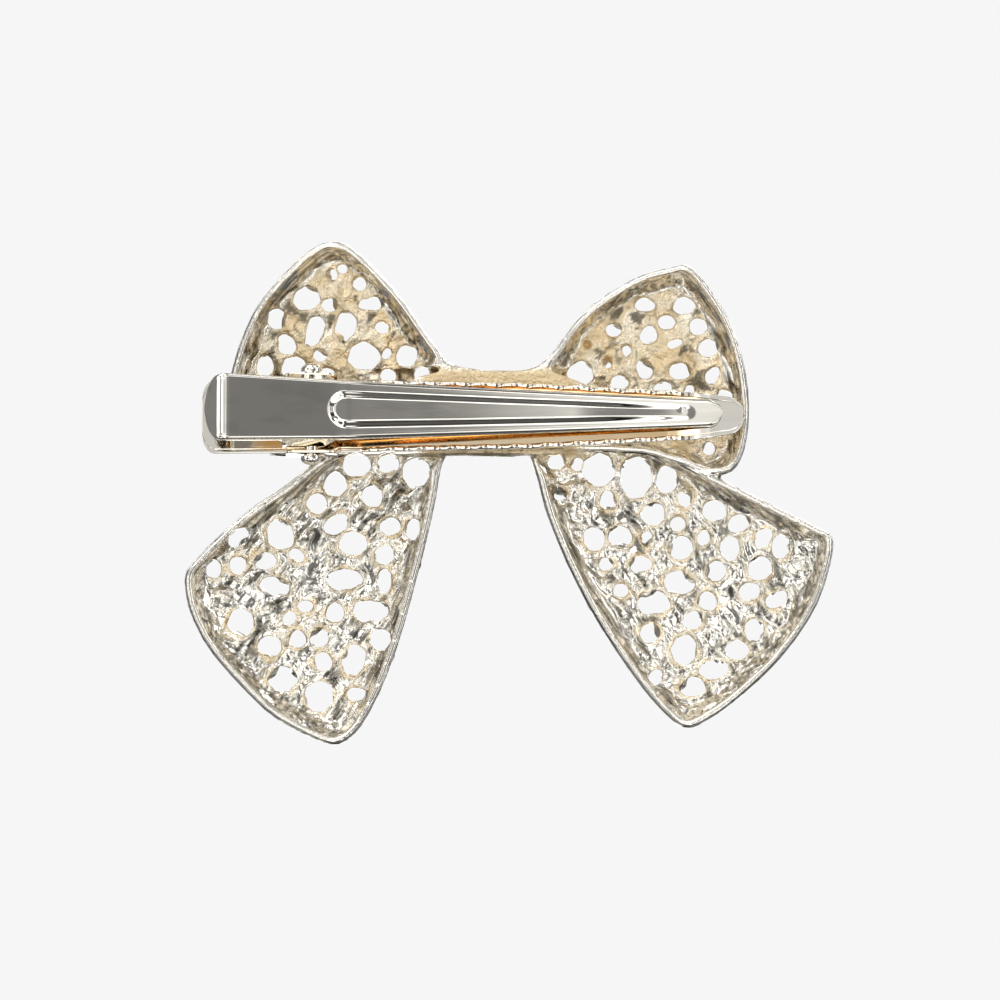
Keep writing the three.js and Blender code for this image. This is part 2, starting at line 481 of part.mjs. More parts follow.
// Each petal: the edges of its outline clockwise as seen from the clip side, with a corner where
// one edge ends and the next begins, the middle that its floor is drawn towards, how many stones it
// carries, the width and depth of its sloping wall, its thickness, the height of its rim, and its
// holes as [x, z, half width, half height, turn in degrees].
const petals = {
  leftLoop: {
    edges: [
      [[-24.5, -4.3], [-28.2, -2.4], [-29.7, 1.8], [-29.2, 5.6], [-27.8, 9.8], [-25.8, 13.4], [-22.3, 17.1],
        [-20.2, 18.7], [-18.5, 19.3], [-16.9, 19.0], [-15.2, 17.8], [-12.7, 15.4], [-10.3, 12.6], [-8.1, 9.4],
        [-6.5, 7.2], [-5.2, 5.9], [-2.0, 5.2]],
      [[-2.0, 5.2], [-0.6, 0.4], [-2.0, -4.2]],
      [[-2.0, -4.2], [-12.0, -4.4], [-24.5, -4.3]],
    ],
    middle: [-17.5, 5.5],
    stones: 11,
    wallWidth: 1.9,
    wallDepth: 2.6,
    thickness: SHELL,
    rimY: loopRimY,
    holes: [
      [-21.2, 13.3, 1.35, 1.3, 0], [-18.6, 12.6, 0.95, 0.7, 0], [-14.1, 12.6, 1.35, 0.7, 0],
      [-24.4, 11.0, 1.0, 1.1, 0], [-20.3, 9.8, 0.85, 1.6, -22], [-17.0, 10.2, 1.0, 1.8, -15],
      [-12.9, 10.1, 0.65, 0.65, 0], [-23.4, 8.2, 1.0, 1.0, 0], [-19.7, 7.0, 0.8, 0.6, 0],
      [-14.9, 6.9, 1.7, 1.4, 0], [-10.2, 6.9, 1.1, 1.1, 0], [-25.7, 5.9, 0.8, 1.05, 0],
      [-22.5, 5.7, 1.35, 1.2, 0], [-12.2, 4.8, 0.8, 0.8, 0], [-8.6, 4.8, 0.85, 0.85, 0],
      [-18.6, 15.9, 0.6, 0.6, 0], [-12.4, 7.2, 0.5, 0.6, 0], [-18.8, 5.1, 0.8, 0.5, 0],
      [-15.4, 14.9, 0.7, 0.7, 0], [-17.3, 16.5, 0.6, 0.4, 0],
    ],
  },
  rightLoop: {
    edges: [
      [[1.5, 5.1], [3.9, 5.6], [5.9, 7.4], [7.7, 10.0], [10.2, 12.5], [13.2, 14.5], [16.2, 15.9],
        [18.8, 16.5], [20.1, 16.8], [21.3, 16.2], [23.0, 14.1], [24.5, 11.8], [25.9, 8.7], [26.8, 5.2],
        [27.2, 1.4], [27.0, -2.0], [26.3, -4.6], [25.2, -6.0], [23.6, -6.4], [21.9, -6.2], [20.2, -5.4],
        [18.0, -4.8], [15.5, -4.1], [8.0, -3.8], [1.5, -4.2]],
      [[1.5, -4.2], [-1.4, 0.4], [1.5, 5.1]],
    ],
    middle: [16.5, 4.5],
    stones: 11,
    wallWidth: 1.9,
    wallDepth: 2.6,
    thickness: SHELL,
    rimY: loopRimY,
    holes: [
      [15.9, 12.6, 1.15, 0.65, 0], [20.2, 12.4, 1.1, 0.9, 0], [18.3, 10.8, 0.8, 0.8, 0],
      [21.8, 10.2, 1.0, 0.85, 0], [16.3, 9.4, 0.85, 1.0, 0], [22.8, 7.9, 1.0, 0.85, 0],
      [15.8, 5.6, 0.8, 1.1, 0], [19.7, 5.3, 1.05, 0.8, 0], [8.8, 5.0, 1.3, 1.25, 0],
      [13.1, 3.8, 1.0, 0.95, 0], [17.8, 3.3, 0.95, 0.85, 0], [23.3, 4.8, 0.7, 1.0, -35],
      [12.5, 9.8, 0.8, 0.6, 0], [11.8, 6.2, 0.4, 0.7, 0], [13.8, 7.6, 0.5, 0.6, 0],
      [24.5, 2.7, 0.8, 0.6, 0], [9.5, 8.1, 0.5, 0.4, 30], [19.2, 8.4, 0.9, 0.4, 12],
      [22.8, -3.3, 0.7, 0.6, 0], [20.8, 3.2, 0.6, 0.5, 0],
    ],
  },
  leftTail: {
    edges: [
      [[-20.0, -4.6], [-15.0, -2.2], [-9.0, -1.4], [-5.2, -3.0]],
      [[-5.2, -3.0], [-6.3, -5.2], [-6.9, -8.6], [-7.9, -13.3], [-9.4, -19.1], [-11.0, -24.8], [-13.0, -30.1],
        [-14.9, -33.6], [-16.4, -35.2], [-18.0, -35.8], [-20.0, -35.2], [-22.6, -33.9], [-25.5, -32.0],
        [-29.6, -27.8], [-32.3, -24.3], [-33.9, -20.6], [-34.3, -17.9], [-34.0, -16.6], [-33.1, -15.5]],
      [[-33.1, -15.5], [-30.1, -12.4], [-26.6, -9.5], [-23.3, -7.3], [-20.0, -4.6]],
    ],
    middle: [-19.5, -17.5],
    stones: 12,
    wallWidth: 2.2,
    wallDepth: 2.3,
    thickness: SHELL,
    rimY: tailRimY,
    holes: [
      [-15.7, -5.0, 1.3, 1.05, 0], [-12.2, -4.8, 1.0, 0.9, 0], [-9.1, -5.9, 1.4, 1.45, 0],
      [-18.0, -7.1, 1.1, 1.15, 0], [-20.0, -9.2, 0.95, 0.95, 0], [-14.0, -8.4, 1.0, 1.0, 0],
      [-17.9, -11.4, 1.2, 0.85, 40], [-16.0, -13.6, 1.3, 1.15, 0], [-12.0, -11.7, 1.05, 0.85, 0],
      [-9.4, -12.1, 0.65, 1.0, 0], [-23.9, -12.7, 1.2, 1.5, 15], [-25.7, -15.5, 1.1, 0.85, 0],
      [-28.5, -13.0, 1.15, 0.7, 35], [-28.6, -16.0, 0.8, 0.8, 0], [-31.2, -16.6, 0.75, 0.8, 0],
      [-24.6, -18.3, 1.5, 0.85, -10], [-17.0, -17.5, 1.85, 1.0, 0], [-12.6, -14.9, 0.9, 1.0, 0],
      [-12.6, -17.8, 0.65, 1.2, 0], [-14.1, -21.0, 1.85, 1.05, 0], [-28.2, -22.3, 1.2, 1.4, 0],
      [-18.0, -21.2, 0.9, 0.85, 0], [-25.1, -24.9, 1.15, 1.1, 0], [-22.0, -24.1, 0.75, 0.85, 0],
      [-19.7, -23.9, 0.8, 0.9, 0], [-12.9, -24.2, 1.0, 1.0, 0], [-15.9, -26.4, 1.05, 1.65, -16],
      [-19.2, -26.6, 0.85, 0.8, 0], [-23.6, -28.4, 1.45, 1.2, 0], [-19.7, -30.4, 1.4, 1.45, 0],
      [-15.6, -30.1, 0.9, 0.6, 0], [-22.2, -15.0, 0.7, 0.6, 0], [-21.2, -20.4, 0.7, 0.6, 0],
      [-22.9, -21.9, 0.6, 0.6, 0],
    ],
  },
  rightTail: {
    edges: [
      [[3.0, -3.4], [8.0, -1.4], [14.0, -1.8]],
      [[14.0, -1.8], [24.8, -7.0], [35.8, -12.6]],
      [[35.8, -12.6], [36.3, -13.6], [35.9, -16.3], [34.5, -20.4], [32.2, -24.2], [29.1, -27.8],
        [24.9, -31.5], [22.3, -33.2], [20.5, -34.0], [18.8, -33.3], [16.1, -30.5], [12.9, -26.1],
        [9.7, -20.9], [7.1, -15.7], [5.0, -10.4], [4.0, -6.6], [3.0, -3.4]],
    ],
    middle: [19.5, -16.5],
    stones: 13,
    wallWidth: 2.2,
    wallDepth: 2.3,
    thickness: SHELL,
    rimY: tailRimY,
    holes: [
      [6.2, -4.7, 0.85, 0.75, 0], [10.8, -5.5, 1.55, 1.7, 0], [14.9, -6.4, 1.6, 2.1, 0],
      [18.2, -6.7, 0.95, 1.25, 0], [6.6, -8.2, 0.6, 0.6, 0], [11.8, -9.0, 0.75, 1.1, 0],
      [16.7, -10.4, 1.15, 1.05, 0], [23.4, -10.1, 1.15, 1.0, 0], [20.2, -8.5, 0.7, 1.0, 0],
      [26.1, -11.4, 1.05, 0.9, 0], [19.4, -11.4, 0.75, 0.6, 0], [10.2, -13.1, 1.1, 1.15, 0],
      [13.1, -12.8, 1.15, 1.0, 0], [19.7, -14.1, 1.1, 1.05, 0], [25.2, -14.1, 0.9, 1.15, 0],
      [28.7, -13.0, 0.75, 0.95, -35], [30.6, -14.1, 0.8, 1.15, 0], [15.3, -15.9, 1.15, 0.85, 0],
      [11.6, -15.9, 0.65, 0.7, 0], [23.6, -16.6, 0.95, 1.0, 0], [28.3, -16.4, 1.05, 1.15, 0],
      [19.6, -17.8, 1.5, 1.15, -12], [16.8, -20.0, 1.55, 1.2, 0], [27.1, -18.9, 1.05, 0.85, 0],
      [22.6, -20.0, 0.9, 0.9, 0], [30.1, -19.8, 1.2, 0.75, 25], [13.2, -18.7, 0.7, 0.7, 0],
      [21.0, -22.0, 0.9, 0.85, 0], [16.4, -23.5, 0.9, 0.9, 0], [27.6, -23.1, 0.9, 1.1, 0],
      [20.0, -25.3, 1.25, 1.5, -18], [25.8, -25.3, 1.2, 0.85, 0], [23.3, -27.5, 1.4, 0.85, 0],
      [20.8, -29.3, 1.25, 0.95, 0], [16.9, -28.3, 0.6, 0.8, 0], [22.2, -13.0, 0.6, 0.75, 0],
      [16.1, -13.1, 0.5, 0.7, 0], [8.6, -4.9, 0.6, 0.65, 0],
    ],
  },
  knot: {
    edges: [
      [[-6.2, 0.4], [-6.0, 3.6], [-5.0, 5.0], [-1.0, 5.2], [3.2, 5.0], [4.2, 3.6], [4.4, 0.4], [4.2, -3.0],
        [3.2, -4.2], [-1.0, -4.3], [-5.0, -4.1], [-6.0, -3.0], [-6.2, 0.4]],
    ],
    middle: [-0.9, 0.4],
    stones: 3,
    wallWidth: 1.3,
    wallDepth: 0.3,
    thickness: KNOT_THICKNESS,
    rimY: () => RIM_Y,
    holes: [],
  },
};

// Points round a petal, with its corners kept
function petalOutline(petal) {
  return petal.edges.flatMap((edge) => {
    const steps = (edge.length - 1) * OUTLINE_STEPS;
    return new THREE.SplineCurve(vectors(edge)).getPoints(steps).slice(0, -1);
  });
}

// The point that lies a given distance in from the edge, on the line to the petal's middle
function insetPoint(outline, i, middle, inset) {
  const count = outline.length;
  const along = outline[(i + 1) % count].clone().sub(outline[(i + count - 1) % count]).normalize();
  const inward = middle.clone().sub(outline[i]);
  const reach = Math.abs(inward.x * along.y - inward.y * along.x);
  return outline[i].clone().addScaledVector(inward, Math.min(inset / reach, INSET_LIMIT));
}

// Rings of the shell's section from the middle of its back, round the rim, to the middle of its
// front: how far in from the edge each is, or what share of the way to the middle, and its height
function petalRings(petal) {
  const { wallWidth, wallDepth, thickness } = petal;
  const front = wallDepth + thickness;
  const knee = wallWidth * WALL_KNEE;
  const innerRim = RIM_FLARE + RIM_WIDTH;
  return [
    { share: 1, rise: wallDepth + CROWN },
    { share: 0.5, rise: wallDepth + HALFWAY_CROWN },
    { inset: wallWidth + FOOT_ROUND, rise: wallDepth },
    { inset: knee + FOOT_ROUND, rise: wallDepth * WALL_KNEE_RISE },
    { inset: innerRim, rise: 0 },
    { inset: RIM_FLARE, rise: 0 },
    { inset: 0, rise: BULGE_RISE },
    { inset: wallWidth * SHOULDER, rise: front * SHOULDER_RISE },
    { inset: wallWidth, rise: front },
    { share: 0.5, rise: front + HALFWAY_CROWN },
    { share: 1, rise: front + CROWN },
  ];
}

// A turned shell whose round rings are drawn out to the petal's outline
function petalShell(petal) {
  const outline = petalOutline(petal);
  const middle = new THREE.Vector2(...petal.middle);
  const rings = petalRings(petal);
  const last = rings.length - 1;
  const profile = rings.map((ring, i) => new THREE.Vector2(i === 0 || i === last ? 0 : 1, i));
  const geometry = new THREE.LatheGeometry(profile, outline.length);
  const position = geometry.attributes.position;
  for (let v = 0; v < position.count; v += 1) {
    const ring = rings[v % rings.length];
    const i = Math.floor(v / rings.length) % outline.length;
    let point = insetPoint(outline, i, middle, ring.inset ?? petal.wallWidth);
    if (ring.share !== undefined) {
      point = point.lerp(middle, ring.share);
    }
    position.setXYZ(v, point.x, petal.rimY(point.x, point.y) + ring.rise, point.y);
  }
  return solid(geometry);
}

// A many-sided cutter whose flats touch the hole's ellipse
function holeCutter([x, z, halfWidth, halfHeight, turn]) {
  const corner = 1 / Math.cos(Math.PI / HOLE_SIDES);
  const geometry = new THREE.CylinderGeometry(corner, corner, 2 * FAR, HOLE_SIDES);
  geometry.scale(halfWidth, 1, halfHeight);
  geometry.rotateY(THREE.MathUtils.degToRad(-turn));
  geometry.translate(x, 0, z);
  return solid(geometry);
}

function bowShell() {
  const shells = Object.values(petals).map(petalShell);
  return shells.reduce((whole, shell) => whole.add(shell));
}

// ---- rhinestones -------------------------------------------------------------------------------

// Room round a point of a petal: the radius of the largest stone that would fit there
function stoneRoom(petal, outline, point) {
  let room = STONE_MAX_RADIUS;
  for (const [x, z, halfWidth, halfHeight] of petal.holes) {
    const gap = Math.hypot(point.x - x, point.y - z) - (halfWidth + halfHeight) / 2;
    room = Math.min(room, gap / (1 - STONE_OVERHANG));
  }
  for (const edge of outline) {
    room = Math.min(room, point.distanceTo(edge) - petal.wallWidth * STONE_EDGE_ROOM);
  }
  return room;
}

function insideOutline(outline, point) {
  let inside = false;
  outline.forEach((a, i) => {
    const b = outline[(i + 1) % outline.length];
    const crosses = (a.y > point.y) !== (b.y > point.y);
    if (crosses && point.x < mix(a.x, b.x, (point.y - a.y) / (b.y - a.y))) {
      inside = !inside;
    }
  });
  return inside;
}

// Every grid point of a petal where a stone fits, with its room
function stoneCandidates(petal) {
  const outline = petalOutline(petal);
  const box = new THREE.Box2().setFromPoints(outline);
  const found = [];
  for (let x = box.min.x; x < box.max.x; x += STONE_GRID) {
    for (let z = box.min.y; z < box.max.y; z += STONE_GRID) {
      const point = new THREE.Vector2(x, z);
      const room = insideOutline(outline, point) ? stoneRoom(petal, outline, point) : 0;
      if (room >= STONE_MIN_RADIUS) {
        found.push({ point, radius: room });
      }
    }
  }
  return found;
}

function castRay(skin, point) {
  const ray = new THREE.Raycaster(new THREE.Vector3(point.x, FAR, point.y), new THREE.Vector3(0, -1, 0));
  return ray.intersectObject(skin)[0];
}

// Where a stone rests on the front of the shell, and which way it faces: its foot plane is lifted
// until it clears the highest point under the stone's edge
function stonePlace(skin, { point, radius }) {
  const hit = castRay(skin, point);
  const facing = hit.face.normal.clone();
  let lift = 0;
  for (let i = 0; i < REST_SAMPLES; i += 1) {
    const turn = (2 * Math.PI * i) / REST_SAMPLES;
    const outward = new THREE.Vector2(Math.cos(turn), Math.sin(turn));
    const rest = castRay(skin, point.clone().addScaledVector(outward, radius));
    lift = Math.max(lift, rest?.point.sub(hit.point).dot(facing) ?? 0);
  }
  return { at: hit.point.clone().addScaledVector(facing, lift + STONE_GAP), facing, lift, radius, point };
}

// Adds a petal's stones: the roomiest places first, well apart, and none over a crease
function addPetalStones(skin, petal, placed) {
  const candidates = stoneCandidates(petal).sort((a, b) => b.radius - a.radius);
  let left = petal.stones;
  for (const candidate of candidates) {
    const clear = placed.every(
      (other) => other.point.distanceTo(candidate.point) > other.radius + candidate.radius + STONE_SPACING,
    );
    if (clear && left > 0) {
      const place = stonePlace(skin, candidate);
      if (place.lift < STONE_MAX_LIFT && place.facing.y > STONE_MIN_FACING) {
        placed.push(place);
        left -= 1;
      }
    }
  }
}

// A flat-backed stone: foot, girdle, sloping crown and flat table
function stoneGeometry(place) {
  const r = place.radius;
  const top = STONE_GIRDLE + r * STONE_CROWN;
  const profile = [[0, 0], [r * STONE_FOOT, 0], [r, STONE_GIRDLE], [r * STONE_TABLE, top], [0, top]];
  const geometry = new THREE.LatheGeometry(vectors(profile), STONE_SIDES);
  const turn = new THREE.Quaternion().setFromUnitVectors(new THREE.Vector3(0, 1, 0), place.facing);
  geometry.applyQuaternion(turn);
  geometry.translate(place.at.x, place.at.y, place.at.z);
  return geometryOf(solid(geometry));
}

// ---- assembly ----------------------------------------------------------------------------------

const clip = new THREE.Group();
const clipParts = new THREE.Group();
clipParts.add(part('lower_jaw', geometryOf(lowerJaw()), clipMetal));
clipParts.add(part('upper_lever', geometryOf(upperLever()), clipMetal));
clipParts.add(part('hinge_pin', geometryOf(hingePin()), clipMetal));
clipParts.add(part('torsion_spring', geometryOf(torsionSpring()), springSteel));
SOLDER_X.forEach((x, i) => {
  clipParts.add(part(`solder_pad_${i + 1}`, geometryOf(solderPad(x)), solderMetal));
});
clip.add(clipParts);

const shell = bowShell();
const skin = new THREE.Mesh(geometryOf(shell));
const places = [];
Object.values(petals).reverse().forEach((petal) => addPetalStones(skin, petal, places));
const cutters = Object.values(petals).flatMap((petal) => petal.holes.map(holeCutter));
const casting = cutters.reduce((whole, cutter) => whole.subtract(cutter), shell);
const bow = new THREE.Group();
bow.add(part('bow_casting', geometryOf(casting), castingMetal));
places.forEach((place, i) => {
  const name = `rhinestone_${String(i + 1).padStart(2, '0')}`;
  bow.add(part(name, stoneGeometry(place), stoneGlass));
});
clip.add(bow);

export default clip;
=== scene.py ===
"""Bow-shaped rhinestone hair clip: the looks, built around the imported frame.

Lengths in this script are millimetres until they reach Blender, where MM turns them into metres.
X runs along the clip towards its tip, Z is up, and Y runs from the clip towards the stones.
"""
import json
import random
from functools import partial
from math import ceil, cos, dist, exp, hypot, pi, radians, sin, sqrt

import bmesh
import bpy
import numpy as np
from mathutils import Matrix, Vector, noise
from mathutils.bvhtree import BVHTree
from mathutils.kdtree import KDTree


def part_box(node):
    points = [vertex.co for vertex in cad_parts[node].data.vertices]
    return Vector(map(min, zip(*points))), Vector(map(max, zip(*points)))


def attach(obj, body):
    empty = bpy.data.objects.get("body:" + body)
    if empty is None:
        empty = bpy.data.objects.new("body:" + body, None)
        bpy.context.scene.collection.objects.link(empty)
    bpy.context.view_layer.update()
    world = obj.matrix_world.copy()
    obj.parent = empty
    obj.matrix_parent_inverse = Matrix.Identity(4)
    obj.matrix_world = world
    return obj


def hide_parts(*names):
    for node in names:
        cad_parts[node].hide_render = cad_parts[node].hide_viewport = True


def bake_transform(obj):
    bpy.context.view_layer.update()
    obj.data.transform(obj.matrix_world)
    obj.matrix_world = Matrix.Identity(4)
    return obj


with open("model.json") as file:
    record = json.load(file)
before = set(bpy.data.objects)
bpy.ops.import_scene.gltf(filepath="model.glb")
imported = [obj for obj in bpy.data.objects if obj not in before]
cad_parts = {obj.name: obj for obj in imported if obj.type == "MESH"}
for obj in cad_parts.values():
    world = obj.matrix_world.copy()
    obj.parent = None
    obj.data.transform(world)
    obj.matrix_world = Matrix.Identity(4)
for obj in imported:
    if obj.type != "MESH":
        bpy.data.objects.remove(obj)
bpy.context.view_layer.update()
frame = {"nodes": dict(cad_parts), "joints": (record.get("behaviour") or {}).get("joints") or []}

MM = 0.001

# ---- the clip's measures, from the frame ----


def box_mm(node):
    """Lowest and highest corner of a CAD node, in millimetres."""
    low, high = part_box(node)
    return np.array(low) / MM, np.array(high) / MM


JAW_LOW, JAW_HIGH = box_mm("lower_jaw")
LEVER_LOW, LEVER_HIGH = box_mm("upper_lever")
PIN_LOW, PIN_HIGH = box_mm("hinge_pin")
SPRING_LOW = box_mm("torsion_spring")[0]
HINGE = [joint for joint in frame["joints"] if joint["name"] == "lever_hinge"][0]
PIN = np.array(HINGE["pos_m"]) / MM
PIN_X, PIN_Y = PIN[0], PIN[1]

SHEET = 0.6
JAW_Z = (JAW_LOW[2] + JAW_HIGH[2]) / 2
JAW_BACK_Y = JAW_HIGH[1]
EAR_HALF = (JAW_HIGH[2] - JAW_LOW[2]) / 2
EAR_TOP_Y = JAW_LOW[1]
EAR_LENGTH = 2.8
LEVER_Z = (LEVER_LOW[2] + LEVER_HIGH[2]) / 2
LEVER_HALF = (LEVER_HIGH[2] - LEVER_LOW[2]) / 2
TOOTH_PITCH = 3.35
TOOTH_COUNT = 10
TOOTH_START_X = -13.5
SHARP = 35  # degrees between faces that meet in a sharp edge
STONE_NODES = sorted(name for name in frame["nodes"] if name.startswith("rhinestone"))

# ---- small helpers ----


def mix(a, b, t):
    return a + (b - a) * t


def smooth(low, high, value):
    """0 at low, 1 at high, and a smooth step between, whichever of the two is larger."""
    t = np.clip((value - low) / (high - low), 0, 1)
    return t * t * (3 - 2 * t)


def piece(name, vertices, faces, materials):
    """A mesh object from points in millimetres, shaded smooth except at sharp edges."""
    mesh = bpy.data.meshes.new(name)
    mesh.from_pydata([tuple(v * MM for v in point) for point in vertices], [], faces)
    mesh.update()
    for material in materials:
        mesh.materials.append(material)
    obj = bpy.data.objects.new(name, mesh)
    bpy.context.scene.collection.objects.link(obj)
    shade(mesh, SHARP)
    return obj


def circle(count, turn=0.0):
    """Angles of evenly spaced places round a circle."""
    return [2 * pi * k / count + turn for k in range(count)]


def side_faces(rows, sides):
    """Faces that join rows of points into an open tube."""
    faces = []
    for i in range(rows - 1):
        for k in range(sides):
            m = (k + 1) % sides
            faces.append((i * sides + k, i * sides + m, (i + 1) * sides + m, (i + 1) * sides + k))
    return faces


def ring_faces(rows, sides):
    """Faces that join rows of points into a tube with both its ends closed."""
    first, last = range(sides), range((rows - 1) * sides, rows * sides)
    return side_faces(rows, sides) + [tuple(first)[::-1], tuple(last)]


def shade(mesh, angle):
    mesh.shade_smooth()
    mesh.set_sharp_from_angle(angle=radians(angle))


def face_outwards(obj):
    bm = bmesh.new()
    bm.from_mesh(obj.data)
    bmesh.ops.recalc_face_normals(bm, faces=bm.faces)
    bm.to_mesh(obj.data)
    bm.free()


def apply_modifiers(obj):
    """Turns what the modifiers make into the object's own mesh."""
    graph = bpy.context.evaluated_depsgraph_get()
    made = bpy.data.meshes.new_from_object(obj.evaluated_get(graph))
    obj.modifiers.clear()
    old = obj.data
    obj.data = made
    bpy.data.meshes.remove(old)
    return obj


def modify(obj, kind, **settings):
    modifier = obj.modifiers.new(kind.title(), kind)
    for key, value in settings.items():
        setattr(modifier, key, value)


def mark(mesh, name, values):
    """Gives every point of a mesh a number that its material can read."""
    mesh.attributes.new(name, "FLOAT", "POINT").data.foreach_set("value", values)


# ---- materials ----


class Tree:
    """A node tree, with short calls for what is used here."""

    def __init__(self, tree):
        self.tree = tree

    def add(self, kind, *values, **settings):
        """A new node with its settings, and with values or links for its first inputs."""
        node = self.tree.nodes.new(kind)
        for key, value in settings.items():
            setattr(node, key, value)
        for socket, value in zip(node.inputs, values):
            self.give(socket, value)
        return node

    def link(self, source, target):
        self.tree.links.new(source, target)

    def give(self, socket, value):
        """Sets a socket to a number or a colour, or links it to another node's output."""
        if isinstance(value, bpy.types.NodeSocket):
            self.link(value, socket)
        else:
            socket.default_value = (*value, 1) if isinstance(value, tuple) else value

    def math(self, operation, *values):
        return self.add("ShaderNodeMath", *values, operation=operation).outputs[0]

    def spotted(self, vector, scale, detail):
        """Noise from 0 to 1 along a vector."""
        node = self.add("ShaderNodeTexNoise", vector)
        node.inputs["Scale"].default_value = scale
        node.inputs["Detail"].default_value = detail
        return node.outputs["Fac"]


class Nodes(Tree):
    """A material's nodes."""

    def __init__(self, name):
        self.material = bpy.data.materials.new(name)
        self.material.use_nodes = True
        super().__init__(self.material.node_tree)
        self.shader = self.tree.nodes["Principled BSDF"]

    def noise(self, size_mm, detail=3, stretch=(1, 1, 1)):
        """Noise from 0 to 1 whose features are about size_mm across."""
        mapping = self.add("ShaderNodeMapping", self.add("ShaderNodeTexCoord").outputs["Object"])
        mapping.inputs["Scale"].default_value = stretch
        return self.spotted(mapping.outputs["Vector"], 1 / (size_mm * MM), detail)

    def ramp(self, source, stops):
        """A colour ramp: stops are (place, grey or colour)."""
        node = self.add("ShaderNodeValToRGB", source)
        elements = node.color_ramp.elements
        while len(elements) < len(stops):
            elements.new(0.5)
        for element, (place, value) in zip(elements, stops):
            element.position = place
            colour = value if isinstance(value, tuple) else (value, value, value)
            element.color = (*colour, 1)
        return node.outputs["Color"]

    def blend(self, factor, a, b):
        """Colour a where factor is 0 and b where it is 1."""
        node = self.add("ShaderNodeMix", data_type="RGBA")
        for place, value in ((0, factor), (6, a), (7, b)):
            self.give(node.inputs[place], value)
        return node.outputs[2]

    def attribute(self, name):
        return self.add("ShaderNodeAttribute", attribute_name=name).outputs["Fac"]

    def bump(self, height, depth_mm, strength):
        node = self.add("ShaderNodeBump", strength, depth_mm * MM)
        self.link(height, node.inputs["Height"])
        return node.outputs["Normal"]

    def set(self, **values):
        for key, value in values.items():
            self.give(self.shader.inputs[key.replace("_", " ")], value)
        return self.material


def casting_material():
    """Pale gold plating on a rough casting: matte and warm on the loops and round the holes,
    silvery and bright on the tails' webs, polished on the walls and rims, with painted shade
    and painted dark reflections in near-black on its creases, streaks, patches and walls."""
    n = Nodes("cast_pale_gold")
    rough = n.attribute("floor")
    warm = n.attribute("warm")
    patches = n.noise(2.2, 4)
    silver = n.ramp(patches, [(0.35, (0.86, 0.82, 0.74)), (0.65, (0.93, 0.89, 0.80))])
    tones = (0.96, 0.86, 0.66), (0.96, 0.79, 0.52), (0.94, 0.72, 0.42)
    gold = n.ramp(patches, list(zip((0.3, 0.5, 0.7), tones)))
    floor_colour = n.blend(warm, silver, gold)
    clean = n.blend(rough, (0.92, 0.88, 0.80), floor_colour)
    sanded = n.blend(n.attribute("sandy"), clean, (0.89, 0.72, 0.46))
    # painted shade and painted dark reflections: near-black on creases, streaks, patches and walls
    colour = n.blend(n.attribute("painted_shade_and_reflection"), sanded, (0.11, 0.10, 0.075))
    dull = n.ramp(n.noise(0.8, 3), [(0.35, 0.14), (0.55, 0.32), (0.72, 0.5)])
    bright = n.ramp(n.noise(1.1, 3), [(0.35, 0.06), (0.6, 0.13), (0.75, 0.24)])
    sand = n.ramp(patches, [(0.3, 0.45), (0.7, 0.62)])
    floor_roughness = n.blend(n.attribute("sandy"), n.blend(warm, bright, dull), sand)
    rim_roughness = n.ramp(n.noise(1.6, 3), [(0.3, 0.06), (0.7, 0.14)])
    roughness = n.blend(rough, rim_roughness, floor_roughness)
    warm_grain = n.math("ADD", n.math("MULTIPLY", warm, rough), 0.15)
    grain = n.bump(n.math("MULTIPLY", n.noise(0.34, 4), warm_grain), 0.26, 0.9)
    return n.set(Base_Color=colour, Metallic=1.0, Roughness=roughness, Normal=grain)


def clip_material():
    """Bright pale gold plating on pressed sheet, with a painted warm reflection of the gold on its
    inner faces, and fine lengthwise marks.
    """
    n = Nodes("bright_plated_sheet")
    marks = n.noise(0.35, 4, stretch=(0.05, 1, 1))
    warm_reflection_mottle = n.noise(1.8, 4, stretch=(0.15, 1, 1))
    wiped = n.noise(1.6, 4, stretch=(0.12, 1, 1))
    tones = (0.82, 0.79, 0.71), (0.92, 0.88, 0.80), (0.94, 0.90, 0.82)
    outer = n.ramp(wiped, list(zip((0.35, 0.5, 0.7), tones)))
    # painted warm reflection: orange gold on the inner faces, where the gold surfaces mirror each
    # other
    inner = n.ramp(warm_reflection_mottle, [(0.38, (0.93, 0.65, 0.35)), (0.62, (0.97, 0.77, 0.49))])
    colour = n.blend(n.attribute("inner"), outer, inner)
    roughness = n.ramp(marks, [(0.3, 0.04), (0.75, 0.11)])
    scratches = n.bump(marks, 0.003, 0.3)
    return n.set(Base_Color=colour, Metallic=1.0, Roughness=roughness, Normal=scratches)


def grained_metal(name, grain, colours, roughness, depth_mm):
    """Metal whose colour and gloss go between two values with its grain."""
    n = Nodes(name)
    marks = n.noise(*grain)
    colour = n.ramp(marks, [(0.3, colours[0]), (0.7, colours[1])])
    gloss = n.ramp(marks, [(0.3, roughness[0]), (0.7, roughness[1])])
    bump = n.bump(marks, depth_mm, 0.5)
    return n.set(Base_Color=colour, Metallic=1.0, Roughness=gloss, Normal=bump)


def glass_material():
    """Clear cut glass; faint cloudiness keeps the facets from being perfect."""
    n = Nodes("rhinestone_glass")
    roughness = n.ramp(n.noise(1.5, 2), [(0.4, 0.0), (0.8, 0.03)])
    clear = (0.98, 0.985, 1.0)
    return n.set(Base_Color=clear, Roughness=roughness, Transmission_Weight=1.0, IOR=1.7)


